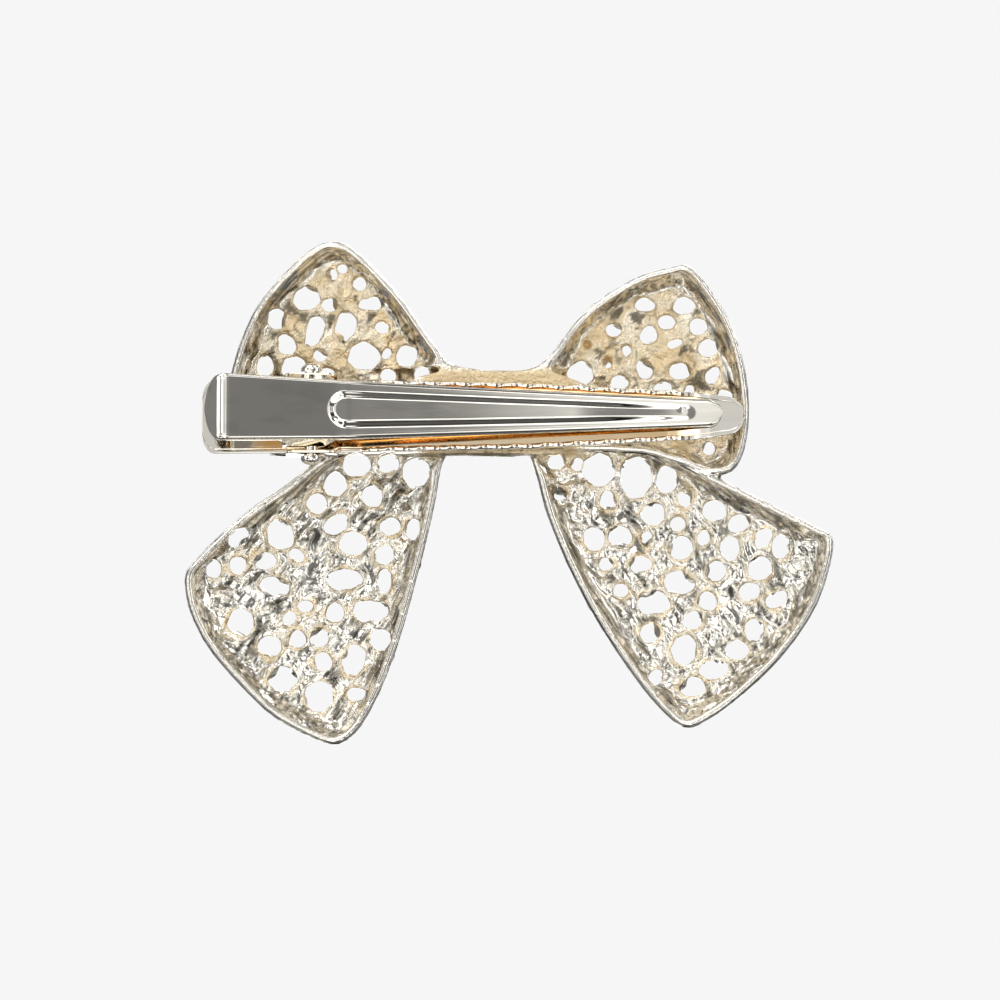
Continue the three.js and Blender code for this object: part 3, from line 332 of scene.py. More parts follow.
CASTING = casting_material()
CLIP = clip_material()
GLASS = glass_material()
steels = (0.55, 0.54, 0.52), (0.68, 0.67, 0.64)
WIRE = grained_metal("drawn_spring_wire", (0.25, 3, (1, 1, 0.3)), steels, (0.2, 0.36), 0.01)
tins = (0.5, 0.49, 0.46), (0.68, 0.66, 0.61)
SOLDER = grained_metal("soft_solder", (0.4, 4), tins, (0.35, 0.6), 0.06)
silvers = (0.86, 0.88, 0.92), (0.97, 0.96, 0.95)
FOIL = grained_metal("rhinestone_foil", (0.3, 3), silvers, (0.02, 0.06), 0.001)

# ---- folded sheet: the jaw and the lever ----

WARM_REFLECTION_STARTS_X = (-28.0, -25.0)  # the painted warm reflection inside the clip is strongest between its ends
WARM_REFLECTION_ENDS_X = (22.5, 20.5)
# share of the painted warm reflection on the inner faces of the folded edges
EDGE_WARM_REFLECTION = 0.7
PRESSED_SHEET = SHEET - 0.05
LEAST_HALF = 0.03  # half width of a sheet where it closes at a round tip
EDGE_ROWS = (0, 0.4, 0.75)  # a section's points on its folded edge, as shares of its depth
BEND_POINTS = 7
EDGE_POINTS = len(EDGE_ROWS) + BEND_POINTS


class Station:
    """One cross-section of a folded sheet: centre, the way its outer face looks, half width, depth
    of the folded edges, height of the face at each place across, and how far the edges lean out."""

    def __init__(self, x, y, outward, half, fold, raised=None, flare=0.0):
        self.x = x
        self.y = y
        self.outward = outward
        self.half = max(half, LEAST_HALF)
        self.fold = fold
        self.raised = raised or (lambda across: 0.0)
        self.flare = flare


def section_points(station, corner, samples):
    """The outer line of a section from one folded edge to the other: (across, outward)."""
    half = station.half
    corner = min(corner, half * 0.4)
    fold = max(station.fold, corner + 0.02)
    wall = [(half + station.flare, mix(-fold, -corner, t)) for t in EDGE_ROWS]
    bend = [
        (half - corner * (1 - cos(a)), -corner * (1 - sin(a)))
        for a in np.linspace(0, pi / 2, BEND_POINTS)
    ]
    side = wall + bend
    flat = np.linspace(half - corner, corner - half, samples)[1:-1]
    face = [(a, station.raised(a)) for a in flat]
    return side + face + [(-a, b) for a, b in reversed(side)]


def folded_sheet(name, stations, centre_z, corner, samples):
    """A closed sheet of even thickness through all its stations, with its inner face marked for a
    painted warm reflection.
    """
    vertices = []
    for station in stations:
        line = np.array(section_points(station, corner, samples))
        tangent = np.gradient(line, axis=0)
        normal = np.stack([-tangent[:, 1], tangent[:, 0]], axis=1)
        normal /= np.maximum(np.linalg.norm(normal, axis=1, keepdims=True), 1e-9)
        inner = line + normal * min(PRESSED_SHEET, station.half * 0.9)
        inner[0, 1] = line[0, 1]
        inner[-1, 1] = line[-1, 1]
        nx, ny = station.outward
        for across, outward in list(line) + list(inner[::-1]):
            vertices.append((station.x + nx * outward, station.y + ny * outward, centre_z + across))
    count = len(vertices) // len(stations)
    half_count = count // 2
    # how much painted warm reflection each point gets: full on the inner face, less on the folded
    # edges
    warm_reflection = []
    for k in range(len(vertices)):
        opposite = count - 1 - k % count
        on_edge = min(opposite, half_count - 1 - opposite) < EDGE_POINTS
        warm_reflection.append(0.0 if opposite >= half_count else EDGE_WARM_REFLECTION if on_edge else 1.0)
    faces = side_faces(len(stations), count)
    last = (len(stations) - 1) * count
    for a in range(half_count - 1):
        b = a + 1
        c, d = count - 1 - b, count - 1 - a
        faces.append((d, c, b, a))
        faces.append((last + a, last + b, last + c, last + d))
    obj = piece(name, vertices, faces, [CLIP])
    for k, vertex in enumerate(vertices):
        warm_reflection[k] *= float(smooth(*WARM_REFLECTION_STARTS_X, vertex[0]) * smooth(*WARM_REFLECTION_ENDS_X, vertex[0]))
    mark(obj.data, "inner", warm_reflection)
    face_outwards(obj)
    return obj


# Upper lever: outer face through tail fold, bend and tip
TAIL_X, TAIL_Y = -30.2, LEVER_LOW[1]
BEND_X, BEND_Y = -16.6, -4.2
TIP_X, TIP_Y = LEVER_HIGH[0], -0.9
TAB_X, TAB_Y = -31.8, -5.2
BEND_HALF, TIP_HALF = 3.2, 1.5
LEVER_CORNER = 0.5
EAR_FLARE = 0.55  # how far the lever's ears lean out to meet the jaw's
EAR_PAST_PIN = 1.5  # how far the lever's ears reach past the pin
EAR_SLOPE = (1.2, 3.0)  # how far from the pin the ears start and finish falling away
PAD_FLANGE, EDGE_FOLD = 1.25, 0.5
BEAK_BOW = 0.5  # how far the beak's face sinks in midway
EDGE_FALL = 0.16  # how far the face falls away at its edges
RIB_START_X, RIB_END_X = -18.6, 21.2
RIB_START_HALF, RIB_END_HALF = 2.0, 0.95
RIB_HEIGHT, RIB_SLOPE = 0.38, 0.75
RIB_CROWN = 0.25  # how much higher the rib is along its middle
RIB_FADE_X, RIB_FADE = 8, 0.85  # where the rib starts to get lower, and by how much
DIMPLE = (19.7, 0.3)
DIMPLE_RADIUS, DIMPLE_DEPTH = 0.26, 0.04
FOLD_ROUNDING, BEND_ROUNDING = 1.3, 2.2
FLANGE_STARTS = (0.6, 1.6)  # how far past the tail's fold the pad's flange comes in
FLANGE_ENDS = (-0.2, 1.0)  # and past the bend it has gone
FLARE_ENDS = (2.0, 3.0)  # how far from the pin the ears' lean starts and stops fading
TAB_STARTS, TAB_ROUNDNESS = 0.3, 2.2  # how far below the fold the tab gets narrower, and how fast
TIP_ROWS, ROW_GAP, CORNER_POINTS = 14, 0.05, 9
LEVER_STEP, LEVER_SAMPLES = 0.2, 34


def lever_half(x):
    if x < BEND_X:
        return mix(LEVER_HALF, BEND_HALF, (x - TAIL_X) / (BEND_X - TAIL_X))
    over = x - (TIP_X - TIP_HALF)
    if over > 0:
        return sqrt(max(TIP_HALF**2 - over**2, 0))
    return mix(BEND_HALF, TIP_HALF, (x - BEND_X) / (TIP_X - TIP_HALF - BEND_X))


def lever_raised(x, across):
    """Height of the pressed rib, round at both ends, less the dimple near the tip."""
    start, end = RIB_START_X + RIB_START_HALF, RIB_END_X - RIB_END_HALF
    half = mix(RIB_START_HALF, RIB_END_HALF, min(max((x - start) / (end - start), 0), 1))
    beyond = max(start - x, x - end, 0)
    inset = half - hypot(beyond, across)
    fade = 1 - RIB_FADE * float(smooth(RIB_FADE_X, RIB_END_X, x))
    crown = 1 + RIB_CROWN * min(max(inset / half, 0), 1)
    rib = RIB_HEIGHT * fade * crown * float(smooth(0, RIB_SLOPE, inset))
    away = hypot(x - DIMPLE[0], across - DIMPLE[1]) / DIMPLE_RADIUS
    fall = EDGE_FALL * min(abs(across) / max(lever_half(max(x, TAIL_X)), 1), 1) ** 5
    return rib - fall - DIMPLE_DEPTH * exp(-away * away)


def lever_fold(x, y):
    """Depth of the folded edge: ears at the pin, a flange on the pad, a shallow edge elsewhere."""
    ear = PIN_Y + EAR_PAST_PIN - y
    depth = PAD_FLANGE + (ear - PAD_FLANGE) * (1 - float(smooth(*EAR_SLOPE, abs(x - PIN_X))))
    depth = mix(depth, EDGE_FOLD, float(smooth(*FLANGE_ENDS, x - BEND_X)))
    return mix(EDGE_FOLD, depth, float(smooth(*FLANGE_STARTS, x - TAIL_X)))


def path_points(corners, radii, step):
    """Points along a bent line with its corners rounded, with the direction at each."""
    corners = np.array(corners)
    line = [corners[0]]
    for before, corner, after, radius in zip(corners, corners[1:], corners[2:], radii):
        start = corner + (before - corner) / np.linalg.norm(before - corner) * radius
        end = corner + (after - corner) / np.linalg.norm(after - corner) * radius
        for t in np.linspace(0, 1, CORNER_POINTS):
            line.append((1 - t) ** 2 * start + 2 * t * (1 - t) * corner + t * t * end)
    line.append(corners[-1])
    dense = [line[0]]
    for a, b in zip(line, line[1:]):
        count = max(1, ceil(np.linalg.norm(b - a) / step))
        dense += [a + (b - a) * k / count for k in range(1, count + 1)]
    dense = np.array(dense)
    direction = np.gradient(dense, axis=0)
    direction /= np.linalg.norm(direction, axis=1, keepdims=True)
    return dense, direction


def build_lever():
    corners = [(TAB_X, TAB_Y), (TAIL_X, TAIL_Y), (BEND_X, BEND_Y), (TIP_X, TIP_Y)]
    points, directions = path_points(corners, [FOLD_ROUNDING, BEND_ROUNDING], LEVER_STEP)
    tip_rows = TIP_X - TIP_HALF * (1 - np.sin(np.linspace(0, pi / 2, TIP_ROWS)))
    keep = points[:, 0] < tip_rows[0] - ROW_GAP
    points, directions = points[keep], directions[keep]
    slope = directions[-1]
    extra = np.array([[x, TIP_Y + slope[1] / slope[0] * (x - TIP_X)] for x in tip_rows])
    points = np.vstack([points, extra])
    directions = np.vstack([directions, np.repeat(slope[None], len(extra), axis=0)])
    fold = (TAIL_X, TAIL_Y)
    tab_length = dist(fold, (TAB_X, TAB_Y))
    stations = []
    for (x, y), (dx, dy) in zip(points, directions):
        half = lever_half(max(x, TAIL_X))
        if y > TAIL_Y + TAB_STARTS and x < TAIL_X:
            along = min(dist(fold, (x, y)) / tab_length, 1)
            half *= sqrt(max(1 - along**TAB_ROUNDNESS, 0.02))
        along = min(max((x - BEND_X) / (TIP_X - BEND_X), 0), 1)
        y += BEAK_BOW * 4 * along * (1 - along)
        raised = partial(lever_raised, x)
        flare = EAR_FLARE * (1 - float(smooth(*FLARE_ENDS, abs(x - PIN_X))))
        stations.append(Station(x, y, (dy, -dx), half, lever_fold(x, y), raised, flare))
    return folded_sheet("upper_lever_sheet", stations, LEVER_Z, LEVER_CORNER, LEVER_SAMPLES)


# Lower jaw: half widths along its plate, its ends, ears and scalloped edges
JAW_HALF_X = (-31.0, -16.5, 3.0, 21.0, 24.5)
JAW_HALF = (4.05, 3.92, 3.55, 2.6, 2.1)
JAW_TIP_RADIUS = 2.1
JAW_TIP_X = JAW_HIGH[0] - JAW_TIP_RADIUS
JAW_TAIL_ROUNDING, JAW_TAIL_TAPER = 1.5, 1.6
JAW_EAR_ROUNDING = 0.9
JAW_CORNER, JAW_SAMPLES, JAW_STEP = 0.4, 10, 0.28
JAW_RAMP_X = (17.5, 23.5)  # where the plate lifts towards the beak's tip
TOOTH_MIDDLE_Y, TOOTH_HEIGHT = -0.1, 0.42
TEETH_FADE = 1.6
EAR_ROWS = (-0.03, 0.01, 0.12, 0.35, 0.6, 0.9)  # closer sections, from an ear's end inwards


def corner_fall(over, radius):
    """How far a round corner has fallen away where it is over past its start, in its radii."""
    return 1 - sqrt(max(1 - (over / radius) ** 2, 0))


def jaw_half(x):
    if abs(x - PIN_X) < EAR_LENGTH:
        return EAR_HALF
    if x > JAW_TIP_X:
        return sqrt(max(JAW_TIP_RADIUS**2 - (x - JAW_TIP_X) ** 2, 0))
    over = JAW_TAIL_ROUNDING - (x - JAW_LOW[0])
    if over < 0:
        return float(np.interp(x, JAW_HALF_X, JAW_HALF))
    return JAW_HALF[0] - JAW_TAIL_ROUNDING * JAW_TAIL_TAPER * corner_fall(over, JAW_TAIL_ROUNDING)


def jaw_fold(x):
    """How far the edges stand up from the plate's back: ears at the pin, then scalloped teeth."""
    beside = EAR_LENGTH - abs(x - PIN_X)
    if beside > 0:
        fall = corner_fall(max(JAW_EAR_ROUNDING - beside, 0), JAW_EAR_ROUNDING)
        return JAW_BACK_Y - EAR_TOP_Y - JAW_EAR_ROUNDING * fall
    end = TOOTH_START_X + TOOTH_PITCH * TOOTH_COUNT
    if TOOTH_START_X - TEETH_FADE < x < end + TEETH_FADE:
        turn = 2 * pi * (x - TOOTH_START_X) / TOOTH_PITCH
        wave = TOOTH_MIDDLE_Y + TOOTH_HEIGHT * cos(turn)
        starts = smooth(TOOTH_START_X - TEETH_FADE, TOOTH_START_X, x)
        ends = smooth(end, end + TEETH_FADE, x)
        return mix(SHEET, JAW_BACK_Y - wave, float(starts * (1 - ends)))
    return SHEET


def build_jaw():
    xs = list(np.arange(JAW_LOW[0] + 1.6, JAW_TIP_X, JAW_STEP))
    xs += list(JAW_LOW[0] + JAW_TAIL_ROUNDING * (1 - np.cos(np.linspace(0.12, pi / 2, 10))))
    xs += list(JAW_TIP_X + JAW_TIP_RADIUS * np.sin(np.linspace(0, pi / 2, TIP_ROWS)))
    for side in (-1, 1):
        xs += [PIN_X + side * EAR_LENGTH - side * row for row in EAR_ROWS]
    stations = []
    rise = JAW_BACK_Y - SHEET
    for x in sorted(xs):
        lift = rise * float(smooth(*JAW_RAMP_X, x))
        fold = max(jaw_fold(x) - lift, SHEET)
        stations.append(Station(x, JAW_BACK_Y - lift, (0, 1), jaw_half(x), fold))
    jaw = folded_sheet("lower_jaw_sheet", stations, JAW_Z, JAW_CORNER, JAW_SAMPLES)
    modify(jaw, "SUBSURF", levels=1, render_levels=1)
    return apply_modifiers(jaw)


# ---- turned and drawn pieces ----

PIN_SHAFT_RADIUS = 0.75
PIN_HEAD = 1.0  # how far a head stands up
PIN_HEAD_EDGE, PIN_HEAD_BEVEL = 0.25, 0.06
PIN_SIDES, PIN_DOME_ROWS = 48, 10
PIN_DOME_END = pi / 2 - 0.06  # the dome leaves a small flat on top
SPRING_RADIUS, SPRING_HALF, WIRE_RADIUS = 1.5, 1.7, 0.34
SPRING_TURNS = 4.5
COIL_POINTS, LEG_POINTS, WIRE_SIDES = 220, 14, 14
LEVER_LEG_GAP, JAW_LEG_GAP = 0.75, 0.65
LEG_END = 0.97  # share of the way to the coil that a leg's points cover
SOLDER_SIDES, SOLDER_ROWS = 40, 9
SOLDER_BULGE = 0.16
SOLDER_SPREAD, SOLDER_RUN = 0.93, 0.1  # mean outline and its unevenness, as shares of the radius
SOLDER_WOBBLE = 1.7  # how many times the outline goes in and out


def build_pin():
    """Riveted pin: round shaft with a domed head outside each ear."""
    middle = (PIN_LOW[2] + PIN_HIGH[2]) / 2
    seat = (PIN_HIGH[2] - PIN_LOW[2]) / 2 - PIN_HEAD
    radius = (PIN_HIGH[0] - PIN_LOW[0]) / 2
    shoulder = middle + seat + PIN_HEAD_EDGE
    dome = [
        (radius * cos(a), shoulder + (PIN_HEAD - PIN_HEAD_EDGE) * sin(a))
        for a in np.linspace(0, PIN_DOME_END, PIN_DOME_ROWS)
    ]
    upper = [
        (PIN_SHAFT_RADIUS, middle + seat - 0.02),
        (radius - PIN_HEAD_BEVEL, middle + seat),
        (radius, middle + seat + PIN_HEAD_BEVEL),
        *dome,
    ]
    profile = [(r, 2 * middle - z) for r, z in reversed(upper)] + upper
    vertices = [
        (PIN_X + r * cos(a), PIN_Y + r * sin(a), z)
        for r, z in profile
        for a in circle(PIN_SIDES)
    ]
    return piece("hinge_pin_domed", vertices, ring_faces(len(profile), PIN_SIDES), [CLIP])


def wire(name, points):
    """Round wire through points, kept from twisting."""
    points = np.array(points)
    tangents = np.gradient(points, axis=0)
    tangents /= np.linalg.norm(tangents, axis=1, keepdims=True)
    side = np.cross(tangents[0], (0.3, 0.2, 1.0))
    vertices = []
    for point, tangent in zip(points, tangents):
        side -= tangent * np.dot(side, tangent)
        side /= np.linalg.norm(side)
        other = np.cross(tangent, side)
        for a in circle(WIRE_SIDES):
            away = cos(a) * side + sin(a) * other
            vertices.append(tuple(point + WIRE_RADIUS * away))
    return piece(name, vertices, ring_faces(len(points), WIRE_SIDES), [WIRE])


def between(a, b, first, last, count):
    """Points from a to b, between two shares of the way."""
    return [tuple(mix(np.array(a), np.array(b), t)) for t in np.linspace(first, last, count)]


def build_spring():
    """Coil round the pin, with one leg under the lever's pad and one on the jaw's tail plate."""
    leg_x = SPRING_LOW[0] + 0.1
    pad_y = mix(BEND_Y, TAIL_Y, (BEND_X - leg_x) / (BEND_X - TAIL_X)) + SHEET + LEVER_LEG_GAP
    coil = []
    for t in np.linspace(0, 1, COIL_POINTS):
        a = -pi / 2 + 2 * pi * SPRING_TURNS * t
        x, y = PIN_X + SPRING_RADIUS * cos(a), PIN_Y + SPRING_RADIUS * sin(a)
        coil.append((x, y, LEVER_Z + SPRING_HALF * (1 - 2 * t)))
    lever_end = (leg_x, pad_y, LEVER_Z + SPRING_HALF)
    jaw_end = (leg_x, JAW_BACK_Y - SHEET - JAW_LEG_GAP, LEVER_Z - SPRING_HALF)
    start = between(lever_end, coil[0], 0, LEG_END, LEG_POINTS)
    end = between(coil[-1], jaw_end, 1 - LEG_END, 1, LEG_POINTS)
    spring = wire("torsion_spring_wire", start + coil + end)
    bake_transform(spring)
    return spring


def build_solder(node):
    """A low, uneven blob of solder that fills the gap between jaw and casting."""
    low, high = box_mm(node)
    middle = (low + high) / 2
    radius = (high[0] - low[0]) / 2
    vertices = []
    for t in np.linspace(0, 1, SOLDER_ROWS):
        bulge = 1 - SOLDER_BULGE * (2 * t - 1) ** 2
        for a in circle(SOLDER_SIDES):
            place = Vector((cos(a) * SOLDER_WOBBLE, sin(a) * SOLDER_WOBBLE, middle[0]))
            r = radius * bulge * (SOLDER_SPREAD + SOLDER_RUN * noise.noise(place))
            y = mix(low[1], high[1], t)
            vertices.append((middle[0] + r * cos(a), y, middle[2] + r * sin(a)))
    faces = [face[::-1] for face in ring_faces(SOLDER_ROWS, SOLDER_SIDES)]
    return piece(node + "_blob", vertices, faces, [SOLDER])


# ---- rhinestones ----

TABLE_RADIUS, TABLE_HEIGHT = 0.56, 0.36
CROWN_RADIUS, CROWN_HEIGHT = 0.80, 0.19
GIRDLE = 0.035
PAVILION_RADIUS, PAVILION_DEPTH, CULET_DEPTH = 0.42, 0.36, 0.62


def brilliant():
    """Vertices and faces of a unit brilliant cut about the Z axis, and how many faces are crown."""
    def ring(count, radius, height, turn):
        return [(radius * cos(a), radius * sin(a), height) for a in circle(count, turn)]

    eighth = pi / 8
    table = ring(8, TABLE_RADIUS, TABLE_HEIGHT, 0)
    crown = ring(8, CROWN_RADIUS, CROWN_HEIGHT, eighth)
    upper = ring(16, 1.0, GIRDLE, 0)
    lower = ring(16, 1.0, -GIRDLE, 0)
    pavilion = ring(8, PAVILION_RADIUS, -PAVILION_DEPTH, eighth)
    vertices = table + crown + upper + lower + pavilion + [(0, 0, -CULET_DEPTH)]
    t, c, u, w, p, culet = 0, 8, 16, 32, 48, 56
    faces = [tuple(range(8))]
    for k in range(8):
        m = (k + 1) % 8
        before = (k + 7) % 8
        faces.append((t + m, t + k, c + k))
        faces.append((t + k, c + before, u + 2 * k, c + k))
        faces.append((c + k, u + 2 * k, u + 2 * k + 1))
        faces.append((c + k, u + 2 * k + 1, u + (2 * k + 2) % 16))
    for k in range(16):
        m = (k + 1) % 16
        faces.append((u + k, w + k, w + m, u + m))
    crown_faces = len(faces)
    for k in range(8):
        before = (k + 7) % 8
        faces.append((p + k, w + 2 * k + 1, w + 2 * k))
        faces.append((p + k, w + (2 * k + 2) % 16, w + 2 * k + 1))
        faces.append((culet, p + k, w + 2 * k, p + before))
    return vertices, faces, crown_faces


UNIT_STONE = brilliant()


class Stone:
    """A stone's girdle centre, the way its table looks, its radius and its turn about that way."""

    def __init__(self, at, facing, radius, turn):
        self.at = Vector(at)
        self.facing = Vector(facing).normalized()
        self.radius = radius
        self.turn = turn

    def swing(self):
        """The turn that makes +Z the way the table looks."""
        return Vector((0, 0, 1)).rotation_difference(self.facing).to_matrix()

    def matrix(self):
        spin = Matrix.Rotation(self.turn, 4, "Z")
        moved = Matrix.Translation(self.at) @ self.swing().to_4x4()
        return moved @ spin @ Matrix.Scale(self.radius, 4)


def stone_piece(name, stones):
    """One piece of one or more stones, glass above the girdle and silvered foil below it."""
    unit_vertices, unit_faces, crown_faces = UNIT_STONE
    vertices, faces = [], []
    for stone in stones:
        base = len(vertices)
        matrix = stone.matrix()
        vertices += [tuple(matrix @ Vector(v)) for v in unit_vertices]
        faces += [tuple(base + i for i in face) for face in unit_faces]
    obj = piece(name, vertices, faces, [GLASS, FOIL])
    for k, polygon in enumerate(obj.data.polygons):
        polygon.material_index = 0 if k % len(unit_faces) < crown_faces else 1
        polygon.use_smooth = False
    face_outwards(obj)
    return obj


def cad_stone(node):
    """Foot, facing and radius of the stone that a CAD node holds the place of: its flat foot is
    the largest of its faces, and it faces the other way."""
    mesh = frame["nodes"][node].data
    points = np.array([v.co for v in mesh.vertices]) / MM
    flats = {}
    for face in mesh.polygons:
        way = tuple(round(value, 2) for value in face.normal)
        flats[way] = flats.get(way, 0) + face.area
    foot_way = np.array(max(flats, key=flats.get))
    axis = -foot_way / np.linalg.norm(foot_way)
    centre = points.mean(axis=0)
    heights = (points - centre) @ axis
    across = points - centre - np.outer(heights, axis)
    radius = np.linalg.norm(across, axis=1).max()
    return centre + axis * heights.min(), axis, radius


# ---- bow casting ----

VOXEL = 0.205
CASTING_SHARP = 60
PLAN_STEP = 0.3  # of the grid that finds the outline and the holes in plan
WALL_BAND = 1.9  # width of the smooth sloping band inside the outline
THINNING = 0.14  # how much metal is taken off round the holes
SWAY = 0.26  # how far the webs wander sideways
WALL_RISE = (0.1, 0.5)  # heights above the rim where the walls and the floors begin
FLOOR_RISE = (0.9, 1.5)
LOOP_FOOT_Z = -5.0
TAILS_Z = (-2.0, -5.5)  # from no tail to all tail
TAIL_LEANS = (0.8, -0.7)  # slant of the left and of the right tail's streaks
LOOP_RIM_Y, TAIL_RIM_Y = 2.0, 2.7
KNOT_X = (10.0, 7.5)  # from no knot to all knot, sideways, from below and from above
KNOT_LOW_Z, KNOT_HIGH_Z = (-5.2, -3.6), (6.0, 4.6)
KNOT_BACK_Y, KNOT_BACK_DEPTH = 2.0, 1.6
KNOT_OUTLINE = (
    (-9.5, -2.5), (-6.4, -3.9), (6.2, -4.2), (9.5, -2.5),
    (9.5, 3.5), (6.0, 4.9), (-6.2, 5.1), (-9.5, 4.2),
)
LIP = 0.2  # how far a hole's raised lip is from its edge, and its width
CUP_SIDES = 20
# Radius and height round a stone's cup, as shares of the stone's radius
CUP_PROFILE = ((0.8, -0.95), (1.13, -0.35), (1.13, 0.02), (1.05, 0.08), (0.9, -0.02))
SMALL_STONES = (0.78, 0.62, 0.5)
SMALL_TRIES = 5200
STONE_ROOM = 1.12  # room that a stone needs, as a share of its radius
LEVEL = 0.35  # how uneven a stone's seat may be, as a share of its radius
STEEPEST = 0.35  # least share of a stone's facing that is straight ahead
GIRDLE_RISE, SMALL_GIRDLE_RISE = 0.30, 0.22
LARGE_SHARE = 0.97  # a large stone's radius, as a share of its CAD solid's
SEAT = 0.8  # a small stone's seat is felt for at this share of its radius
FRONT_Y = 2.6  # the casting's front is all beyond this
FRONT_FACING = 0.3  # least share of its facing that is straight ahead
FAR = 30  # rays start this far from the clip
rng = random.Random(11)


def cad_mesh(node):
    """Points of a CAD node, in millimetres, and its faces."""
    mesh = frame["nodes"][node].data
    points = [tuple(np.array(v.co) / MM) for v in mesh.vertices]
    return points, [tuple(p.vertices) for p in mesh.polygons]


BOW_POINTS, BOW_FACES = cad_mesh("bow_casting")
TREE = BVHTree.FromPolygons(BOW_POINTS, BOW_FACES)
BOW_LOW, BOW_HIGH = box_mm("bow_casting")


def front_hit(x, z):
    """Point and normal of the casting's front at x, z, or None over a hole or past the edge."""
    place, normal, _, _ = TREE.ray_cast(Vector((x, FAR, z)), Vector((0, -1, 0)))
    if place is None or normal.y < FRONT_FACING or place.y < FRONT_Y:
        return None
    return place, normal


def large_stones():
    stones = []
    for node in STONE_NODES:
        foot, axis, radius = cad_stone(node)
        at = foot + axis * radius * GIRDLE_RISE
        stones.append(Stone(at, axis, radius * LARGE_SHARE, rng.uniform(0, pi)))
    return stones


def small_stones(large):
    """Stones that fill the metal between the large ones, biggest first, clear of holes."""
    placed = []
    taken = [(stone.at.x, stone.at.z, stone.radius * STONE_ROOM) for stone in large]
    for radius in SMALL_STONES:
        room = radius * STONE_ROOM
        for _ in range(SMALL_TRIES):
            x, z = rng.uniform(BOW_LOW[0], BOW_HIGH[0]), rng.uniform(BOW_LOW[2], BOW_HIGH[2])
            turn = rng.uniform(0, pi)
            if any(hypot(x - a, z - b) < room + r for a, b, r in taken):
                continue
            seat = radius * SEAT
            spots = [(x + seat * cos(a), z + seat * sin(a)) for a in circle(8)]
            hits = [front_hit(*spot) for spot in [(x, z)] + spots]
            if any(hit is None for hit in hits):
                continue
            at = hits[0][0]
            normal = sum((hit[1] for hit in hits), Vector()).normalized()
            uneven = max(abs((hit[0] - at).dot(normal)) for hit in hits)
            if normal.y < STEEPEST or uneven > LEVEL * radius:
                continue
            taken.append((x, z, room))
            placed.append(Stone(at + normal * radius * SMALL_GIRDLE_RISE, normal, radius, turn))
    return placed


def cup(stone):
    """Vertices and faces of the low metal cup that a stone sits in."""
    swing = stone.swing()
    vertices = []
    for share, height in CUP_PROFILE:
        for a in circle(CUP_SIDES):
            local = Vector((share * cos(a), share * sin(a), height)) * stone.radius
            vertices.append(tuple(stone.at + swing @ local))
    return vertices, ring_faces(len(CUP_PROFILE), CUP_SIDES)


def rim_height(x, z):
    """How far back the petals' rims are: nearer the clip towards the tips of loops and tails."""
    loop = LOOP_RIM_Y - 0.004 * np.maximum(0, z - 5) ** 2
    tail = TAIL_RIM_Y - 0.0016 * (z + 3) ** 2 - 0.0009 * x**2
    return np.where(z > LOOP_FOOT_Z, loop, tail)


def lumps(points, size, seed):
    """Smooth noise from about -1 to 1 at each point, with features of the given size."""
    shift = Vector((seed * 7.3, seed * 3.1, seed * 5.7))
    return np.array([noise.noise(Vector(p) / size + shift) for p in points])


def streaks(points, width, length, seed):
    """Noise drawn out slantwise down each tail, as the metal flowed in the mould."""
    lean = np.where(points[:, 0] < 0, *TAIL_LEANS)
    norm = np.sqrt(1 + lean**2)
    across = (points[:, 0] - lean * points[:, 2]) / norm
    along = (points[:, 2] + lean * points[:, 0]) / norm
    drawn = np.stack([across / width, points[:, 1] / width, along / length], axis=1)
    return lumps(drawn, size=1.0, seed=seed)


def plan_edges():
    """Points in plan along the bow's outline and along the edges of its holes."""
    xs = np.arange(BOW_LOW[0] - 1, BOW_HIGH[0] + 1, PLAN_STEP)
    zs = np.arange(BOW_LOW[2] - 1, BOW_HIGH[2] + 1, PLAN_STEP)
    metal = np.zeros((len(xs), len(zs)), bool)
    for i, x in enumerate(xs):
        for k, z in enumerate(zs):
            metal[i, k] = TREE.ray_cast(Vector((x, -FAR, z)), Vector((0, 1, 0)))[0] is not None
    outside = np.zeros_like(metal)
    outside[0, :] = outside[-1, :] = outside[:, 0] = outside[:, -1] = True
    grown = 0
    while grown < outside.sum():
        grown = outside.sum()
        outside |= spread_out(outside) & ~metal
    holes = ~metal & ~outside
    places = []
    for empty in (outside, holes):
        edge = spread_out(empty) & metal
        places.append([(xs[i], 0.0, zs[k]) for i, k in zip(*np.nonzero(edge))])
    return places


def spread_out(cells):
    """The cells of a grid and their neighbours on four sides."""
    wider = cells.copy()
    wider[1:, :] |= cells[:-1, :]
    wider[:-1, :] |= cells[1:, :]
    wider[:, 1:] |= cells[:, :-1]
    wider[:, :-1] |= cells[:, 1:]
    return wider


def distances_to(places, points):
    tree = KDTree(len(places))
    for i, place in enumerate(places):
        tree.insert(place, i)
    tree.balance()
    return np.array([tree.find((x, 0.0, z))[2] for x, _, z in points])


def knot_backing():
    """Vertices and faces of the plain slab that closes the knot's back, flush with the rims."""
    count = len(KNOT_OUTLINE)
    depths = (KNOT_BACK_Y, KNOT_BACK_Y + KNOT_BACK_DEPTH)
    vertices = [(x, y, z) for y in depths for x, z in KNOT_OUTLINE]
    return vertices, [face[::-1] for face in ring_faces(2, count)]


def casting_skin(stones):
    """The casting with its stone cups, fused into one even skin and softened."""
    vertices, faces = list(BOW_POINTS), list(BOW_FACES)
    for more, sides in [cup(stone) for stone in stones] + [knot_backing()]:
        base = len(vertices)
        vertices += more
        faces += [tuple(base + i for i in face) for face in sides]
    obj = piece("bow_casting_metal", vertices, faces, [CASTING])
    modify(obj, "WELD", merge_threshold=0.001 * MM)
    modify(obj, "REMESH", mode="VOXEL", voxel_size=VOXEL * MM, use_smooth_shade=True)
    modify(obj, "SMOOTH", factor=0.5, iterations=4)
    return apply_modifiers(obj)


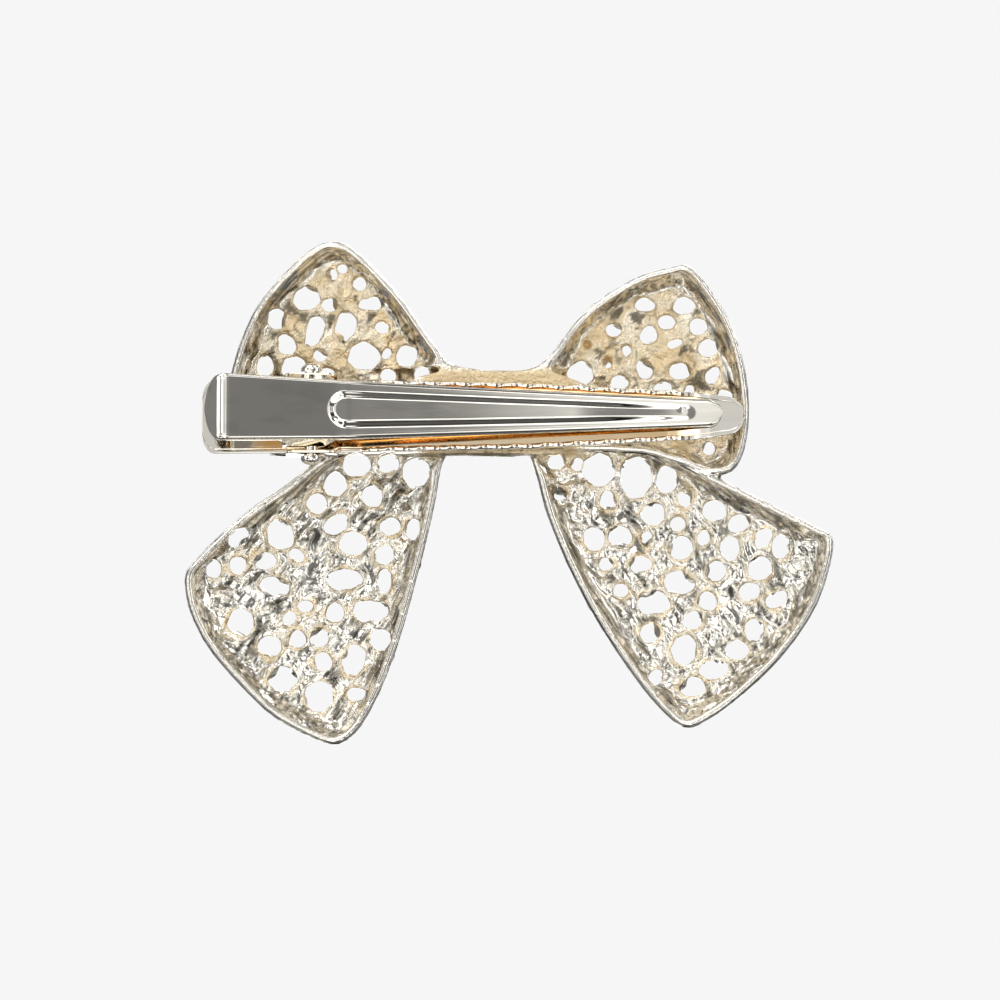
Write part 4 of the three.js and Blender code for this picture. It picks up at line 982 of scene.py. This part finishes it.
class Zones:
    """Which part of the casting each point of its skin is on, from 0 to 1."""

    def __init__(self, points, normals):
        outline, holes = plan_edges()
        inset = distances_to(outline, points)
        self.edge = distances_to(holes, points)
        self.rise = points[:, 1] - rim_height(points[:, 0], points[:, 2])
        back = smooth(-0.35, 0.15, -normals[:, 1])
        x, _, z = points.T
        self.knot = smooth(*KNOT_X, abs(x)) * smooth(*KNOT_LOW_Z, z) * smooth(*KNOT_HIGH_Z, z)
        band = WALL_BAND * (1 + 0.3 * lumps(points, size=5.0, seed=12))
        petal_floor = smooth(*FLOOR_RISE, self.rise) * smooth(band - 0.3, band + 0.3, inset)
        self.floor = np.maximum(petal_floor, self.knot) * back
        self.wall = smooth(*WALL_RISE, self.rise) * back * (1 - self.floor)
        broken = smooth(-0.5, 0.2, lumps(points, size=1.8, seed=13))
        self.lip = np.exp(-(((self.edge - LIP) / LIP) ** 2)) * self.floor * broken
        self.clear = smooth(0.0, 0.36, self.edge)
        self.tails = smooth(*TAILS_Z, points[:, 2])


class Relief:
    """The unevenness of the casting's back, as noise from about -1 to 1."""

    def __init__(self, points):
        self.coarse = lumps(points, size=1.25, seed=1)
        self.fine = lumps(points, size=0.5, seed=2)
        self.creases = 1 - 2.4 * abs(lumps(points, size=1.6, seed=9))
        self.flow = streaks(points, width=0.8, length=3.2, seed=7)
        self.grooves = streaks(points, width=0.45, length=5.0, seed=8)

    def height(self, zones):
        """How far each point stands out towards the clip, in millimetres."""
        bumps = 0.28 * self.coarse + 0.07 * self.fine + 0.16 * self.creases
        bumps += 0.40 * zones.tails * self.flow
        floor = zones.floor * (zones.clear * bumps * mix(1, 0.3, zones.knot) + 0.12 * zones.lip)
        return floor + zones.wall * (0.10 * self.grooves + 0.08 * self.coarse)


def painted_shade_marks(points, zones, relief):
    """Where painted shade and painted dark reflections darken the metal: streaks down the tails,
    patches on the loops, creases and walls.
    """
    across = smooth(-0.3, 0.2, lumps(points, size=3.0, seed=15))
    streaked = smooth(0.05, 0.25, streaks(points, width=0.55, length=3.2, seed=14)) * across
    blotches = lumps(points, size=2.1, seed=21) + 0.35 * lumps(points, size=0.45, seed=22)
    patches = (1 - zones.tails) * smooth(0.26, 0.36, blotches)
    seams = smooth(0.75, 0.97, relief.creases) * smooth(-0.2, 0.3, lumps(points, size=3.5, seed=16))
    marks = np.maximum.reduce([0.85 * zones.tails * streaked, 0.7 * seams, 0.85 * patches])
    marks = marks * zones.floor * zones.clear * (1 - 0.6 * zones.knot)
    drawn = relief.grooves + 0.5 * lumps(points, size=6.0, seed=17)
    return np.maximum(marks, 0.7 * zones.wall * smooth(-0.15, 0.3, drawn))


def shifts(points, normals, zones):
    """How far the skin moves for thinner webs that wander sideways."""
    near_hole = smooth(1.1, 0.5, zones.edge) * smooth(0.9, 1.6, zones.rise)
    thinned = THINNING * mix(0.3, 1, zones.tails) * near_hole * (1 - zones.knot)
    uneven = 0.012 * lumps(points, size=1.6, seed=3) - thinned
    sideways = lumps(points, size=1.7, seed=4), lumps(points, size=1.7, seed=5)
    sway = np.stack([sideways[0], 0 * thinned, sideways[1]], axis=1)
    return normals * uneven[:, None] + sway * (SWAY * smooth(1.3, 2.0, zones.rise))[:, None]


def gold_marks(points, zones, relief):
    """Where the plating is warmest: the loops, the knot and the holes' lips; and where sandy."""
    loops = (1 - zones.tails) * (0.75 + 0.5 * lumps(points, size=3.0, seed=6))
    warm = np.maximum(loops + zones.tails * (0.8 * zones.lip + 0.4 * relief.coarse), zones.knot)
    grainy = smooth(0.0, 0.4, lumps(points, size=2.6, seed=18))
    sandy = zones.floor * np.maximum(zones.knot, 0.8 * (1 - zones.tails) * grainy)
    return warm, sandy


def build_casting(stones):
    """The casting's skin made uneven, with what its material needs to know at each point."""
    obj = casting_skin(stones)
    mesh = obj.data
    points = np.zeros(len(mesh.vertices) * 3)
    mesh.vertices.foreach_get("co", points)
    points = points.reshape(-1, 3) / MM
    normals = np.zeros(points.size)
    mesh.vertex_normals.foreach_get("vector", normals)
    normals = normals.reshape(-1, 3)
    zones = Zones(points, normals)
    relief = Relief(points)
    # painted shade and painted dark reflections, which the material turns near-black
    dark = painted_shade_marks(points, zones, relief)
    points += shifts(points, normals, zones)
    points[:, 1] -= relief.height(zones)
    mesh.vertices.foreach_set("co", (points * MM).ravel())
    warm, sandy = gold_marks(points, zones, relief)
    marks = {"floor": zones.floor, "warm": warm, "painted_shade_and_reflection": dark, "sandy": sandy}
    for name, values in marks.items():
        mark(mesh, name, np.clip(values, 0, 1).astype(np.float32))
    mesh.update()
    shade(mesh, CASTING_SHARP)
    return obj


# ---- the object ----


def stand_for(obj, node, body=None):
    """Puts a piece in its CAD node's place. One that blends between two bodies is given none."""
    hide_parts(node)
    if body:
        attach(obj, body)


def build_clip():
    stand_for(build_jaw(), "lower_jaw", "bow")
    stand_for(build_lever(), "upper_lever", "lever")
    stand_for(build_pin(), "hinge_pin", "bow")
    stand_for(build_spring(), "torsion_spring")
    for node in ("solder_pad_1", "solder_pad_2"):
        stand_for(build_solder(node), node, "bow")


def quarter_of(stone):
    level = "upper" if stone.at.z >= LOOP_FOOT_Z else "lower"
    return level, "left" if stone.at.x < 0 else "right"


def build_bow():
    large = large_stones()
    small = small_stones(large)
    stand_for(build_casting(large + small), "bow_casting", "bow")
    for node, stone in zip(STONE_NODES, large):
        stand_for(stone_piece(node + "_cut", [stone]), node, "bow")
    for level in ("upper", "lower"):
        for side in ("left", "right"):
            group = [stone for stone in small if quarter_of(stone) == (level, side)]
            obj = stone_piece(f"small_stones_{level}_{side}", group)
            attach(obj, "bow")


# ---- camera, light and floor ----

VIEW_TARGET = Vector((0.0, 2.0, -9.1))  # what the middle of the picture looks at
VIEW_DISTANCE = 600.0
VIEW_BELOW = 5.0  # degrees that the camera looks up from below
VIEW_WIDTH = 108.7  # what the picture spans at the bow
SENSOR = 36.0
FLOOR_Z, FLOOR_HALF = -130.0, 1600
BACKGROUND = 0.922


def aimed(name, data, place):
    """A camera or light at a place in millimetres, aimed at the bow."""
    obj = bpy.data.objects.new(name, data)
    obj.location = Vector(place) * MM
    obj.rotation_euler = (VIEW_TARGET - Vector(place)).to_track_quat("-Z", "Y").to_euler()
    bpy.context.scene.collection.objects.link(obj)
    return obj


def build_camera():
    below = radians(VIEW_BELOW)
    data = bpy.data.cameras.new("camera")
    data.sensor_width = SENSOR
    data.lens = SENSOR * VIEW_DISTANCE / VIEW_WIDTH
    data.clip_start, data.clip_end = 0.01, 20
    place = VIEW_TARGET + Vector((0, -cos(below), -sin(below))) * VIEW_DISTANCE
    bpy.context.scene.camera = aimed("camera", data, place)


def build_light(name, place, size, power):
    data = bpy.data.lights.new(name, "AREA")
    data.shape = "RECTANGLE"
    data.size, data.size_y = size[0] * MM, size[1] * MM
    data.energy = power
    aimed(name, data, place).visible_camera = False


# Cards in the room, as metal mirrors them, later ones over earlier ones. Angles are in degrees:
# azimuth from the camera's side (-Y) towards +X and elevation, each as middle and half width,
# then brightness and the softness of the card's edges.
ROOM = 2.7
CARDS = (
    ((0, 180), (90, 52), 2.30, 8),  # overhead diffuser
    ((0, 180), (-90, 40), 0.10, 10),  # dark table below
    ((180, 72), (0, 90), 0.22, 10),  # unlit end of the room, with windows and lamps
    ((180, 12), (6, 26), 1.70, 3),
    ((-150, 7), (34, 18), 2.20, 3),
    ((148, 9), (28, 16), 2.20, 3),
    ((180, 40), (74, 9), 2.00, 4),
    ((-106, 6), (-6, 26), 1.40, 3),
    ((130, 5), (-12, 22), 1.40, 3),
    ((158, 5), (-34, 9), 1.20, 3),
    ((-162, 5), (-30, 9), 1.20, 3),
    ((-96, 22), (0, 55), 0.22, 5),  # dark flags at the two sides
    ((92, 22), (-14, 42), 0.25, 5),
    ((-62, 9), (6, 38), 1.30, 4),  # strip lights
    ((62, 6), (12, 30), 1.40, 4),
    ((-38, 11), (5, 10), 0.45, 4),  # stands, and the darkness between the lights
    ((-38, 16), (23, 9), 0.10, 4),
    ((-38, 16), (-15, 10), 0.10, 4),
    ((-15, 6), (5, 10), 0.80, 3),
    ((14, 13), (5, 14), 0.92, 3),
    ((-3, 7), (5, 10), 0.62, 2),
    ((-15, 6), (52, 30), 0.05, 3),
    ((45, 35), (76, 9), 0.12, 3),
    ((18.5, 5.5), (48, 22), 0.10, 2),
    ((18.5, 5.5), (-48, 22), 0.10, 2),
    ((7, 5), (48, 26), 1.60, 2),
    ((7, 5), (-48, 24), 1.50, 2),
    ((18.5, 8.9), (5, 15), 0.24, 2.5),
    ((38, 15), (8, 26), 0.19, 4),
    ((55, 6), (-34, 18), 0.08, 3),
    ((-52, 10), (-50, 18), 1.0, 4),
    ((-20, 9), (-30, 12), 0.95, 4),
)
CLUTTER_SIZE = 0.45  # of the dark things standing about, away from the horizon
CLUTTER_DARK = 0.12
CLUTTER_FROM = (0.44, 0.49)
HORIZON_BAND = 16  # degrees up and down that stay clear of clutter
HORIZON_SOFT = 5


class RoomNodes(Tree):
    """The world's node tree, with the direction that a ray looks in as azimuth and elevation."""

    def __init__(self, world):
        world.use_nodes = True
        super().__init__(world.node_tree)
        self.tree.nodes.clear()
        self.looking = self.add("ShaderNodeTexCoord").outputs["Generated"]
        axes = self.add("ShaderNodeSeparateXYZ", self.looking)
        back = self.math("MULTIPLY", axes.outputs["Y"], -1)
        self.azimuth = self.math("ARCTAN2", axes.outputs["X"], back)
        self.elevation = self.math("ARCSINE", axes.outputs["Z"])

    def step(self, value, start, end, low=0.0):
        """Smoothly from low, where the value is start, to 1 where it is end."""
        limits = value, start, end, low
        return self.add("ShaderNodeMapRange", *limits, interpolation_type="SMOOTHSTEP").outputs[0]

    def within(self, angle, middle, half, soft):
        """1 where an angle is within half of middle, falling smoothly to 0 at the edges."""
        away = self.math("SUBTRACT", angle, radians(middle))
        away = self.math("ABSOLUTE", self.math("WRAP", away, pi, -pi))
        return self.step(away, radians(half + soft), radians(half - soft))

    def card(self, light, azimuth, elevation, brightness, soft):
        sideways = self.within(self.azimuth, *azimuth, soft)
        mask = self.math("MULTIPLY", sideways, self.within(self.elevation, *elevation, soft))
        mixed = self.add("ShaderNodeMix", data_type="FLOAT")
        for place, value in ((0, mask), (2, light), (3, brightness)):
            self.give(mixed.inputs[place], value)
        return mixed.outputs[0]

    def cluttered(self, light):
        """The light with dark patches scattered above and below the horizon."""
        spread = self.spotted(self.looking, 1 / CLUTTER_SIZE, 1.5)
        patches = self.step(spread, *CLUTTER_FROM, low=CLUTTER_DARK)
        horizon = self.within(self.elevation, 0, HORIZON_BAND, HORIZON_SOFT)
        return self.math("MULTIPLY", light, self.math("MAXIMUM", patches, horizon))


def build_world():
    """A studio room for the metal to mirror; seen directly it is plain pale grey."""
    world = bpy.data.worlds.new("studio")
    room = RoomNodes(world)
    light = room.math("ADD", ROOM, 0)
    for azimuth, elevation, brightness, soft in CARDS:
        light = room.card(light, azimuth, elevation, brightness, soft)
    mirrored = room.add("ShaderNodeBackground", room.cluttered(light)).outputs[0]
    plain = room.add("ShaderNodeBackground", (BACKGROUND,) * 3).outputs[0]
    seen = room.add("ShaderNodeLightPath").outputs["Is Camera Ray"]
    chosen = room.add("ShaderNodeMixShader", seen, mirrored, plain).outputs[0]
    room.add("ShaderNodeOutputWorld", chosen)
    bpy.context.scene.world = world


def build_floor():
    n = Nodes("pale_floor")
    tone = n.ramp(n.noise(40, 2), [(0.3, 0.72), (0.7, 0.74)])
    n.set(Base_Color=tone, Roughness=0.7, Normal=n.bump(n.noise(0.8, 2), 0.02, 0.2))
    signs = ((-1, -1), (1, -1), (1, 1), (-1, 1))
    corners = [(FLOOR_HALF * a, FLOOR_HALF * b, FLOOR_Z) for a, b in signs]
    floor = piece("floor", corners, [(0, 1, 2, 3)], [n.material])
    floor.visible_glossy = False


def build_stage():
    build_camera()
    build_world()
    build_light("key_softbox", (-220, -430, 330), (160, 100), 0.16)
    build_light("side_softbox", (420, -260, 120), (60, 200), 0.10)
    build_light("front_softbox", (150, 420, 260), (200, 120), 0.2)
    build_floor()
    view = bpy.context.scene.view_settings
    view.view_transform = "Standard"
    view.look = "None"


build_clip()
build_bow()
build_stage()
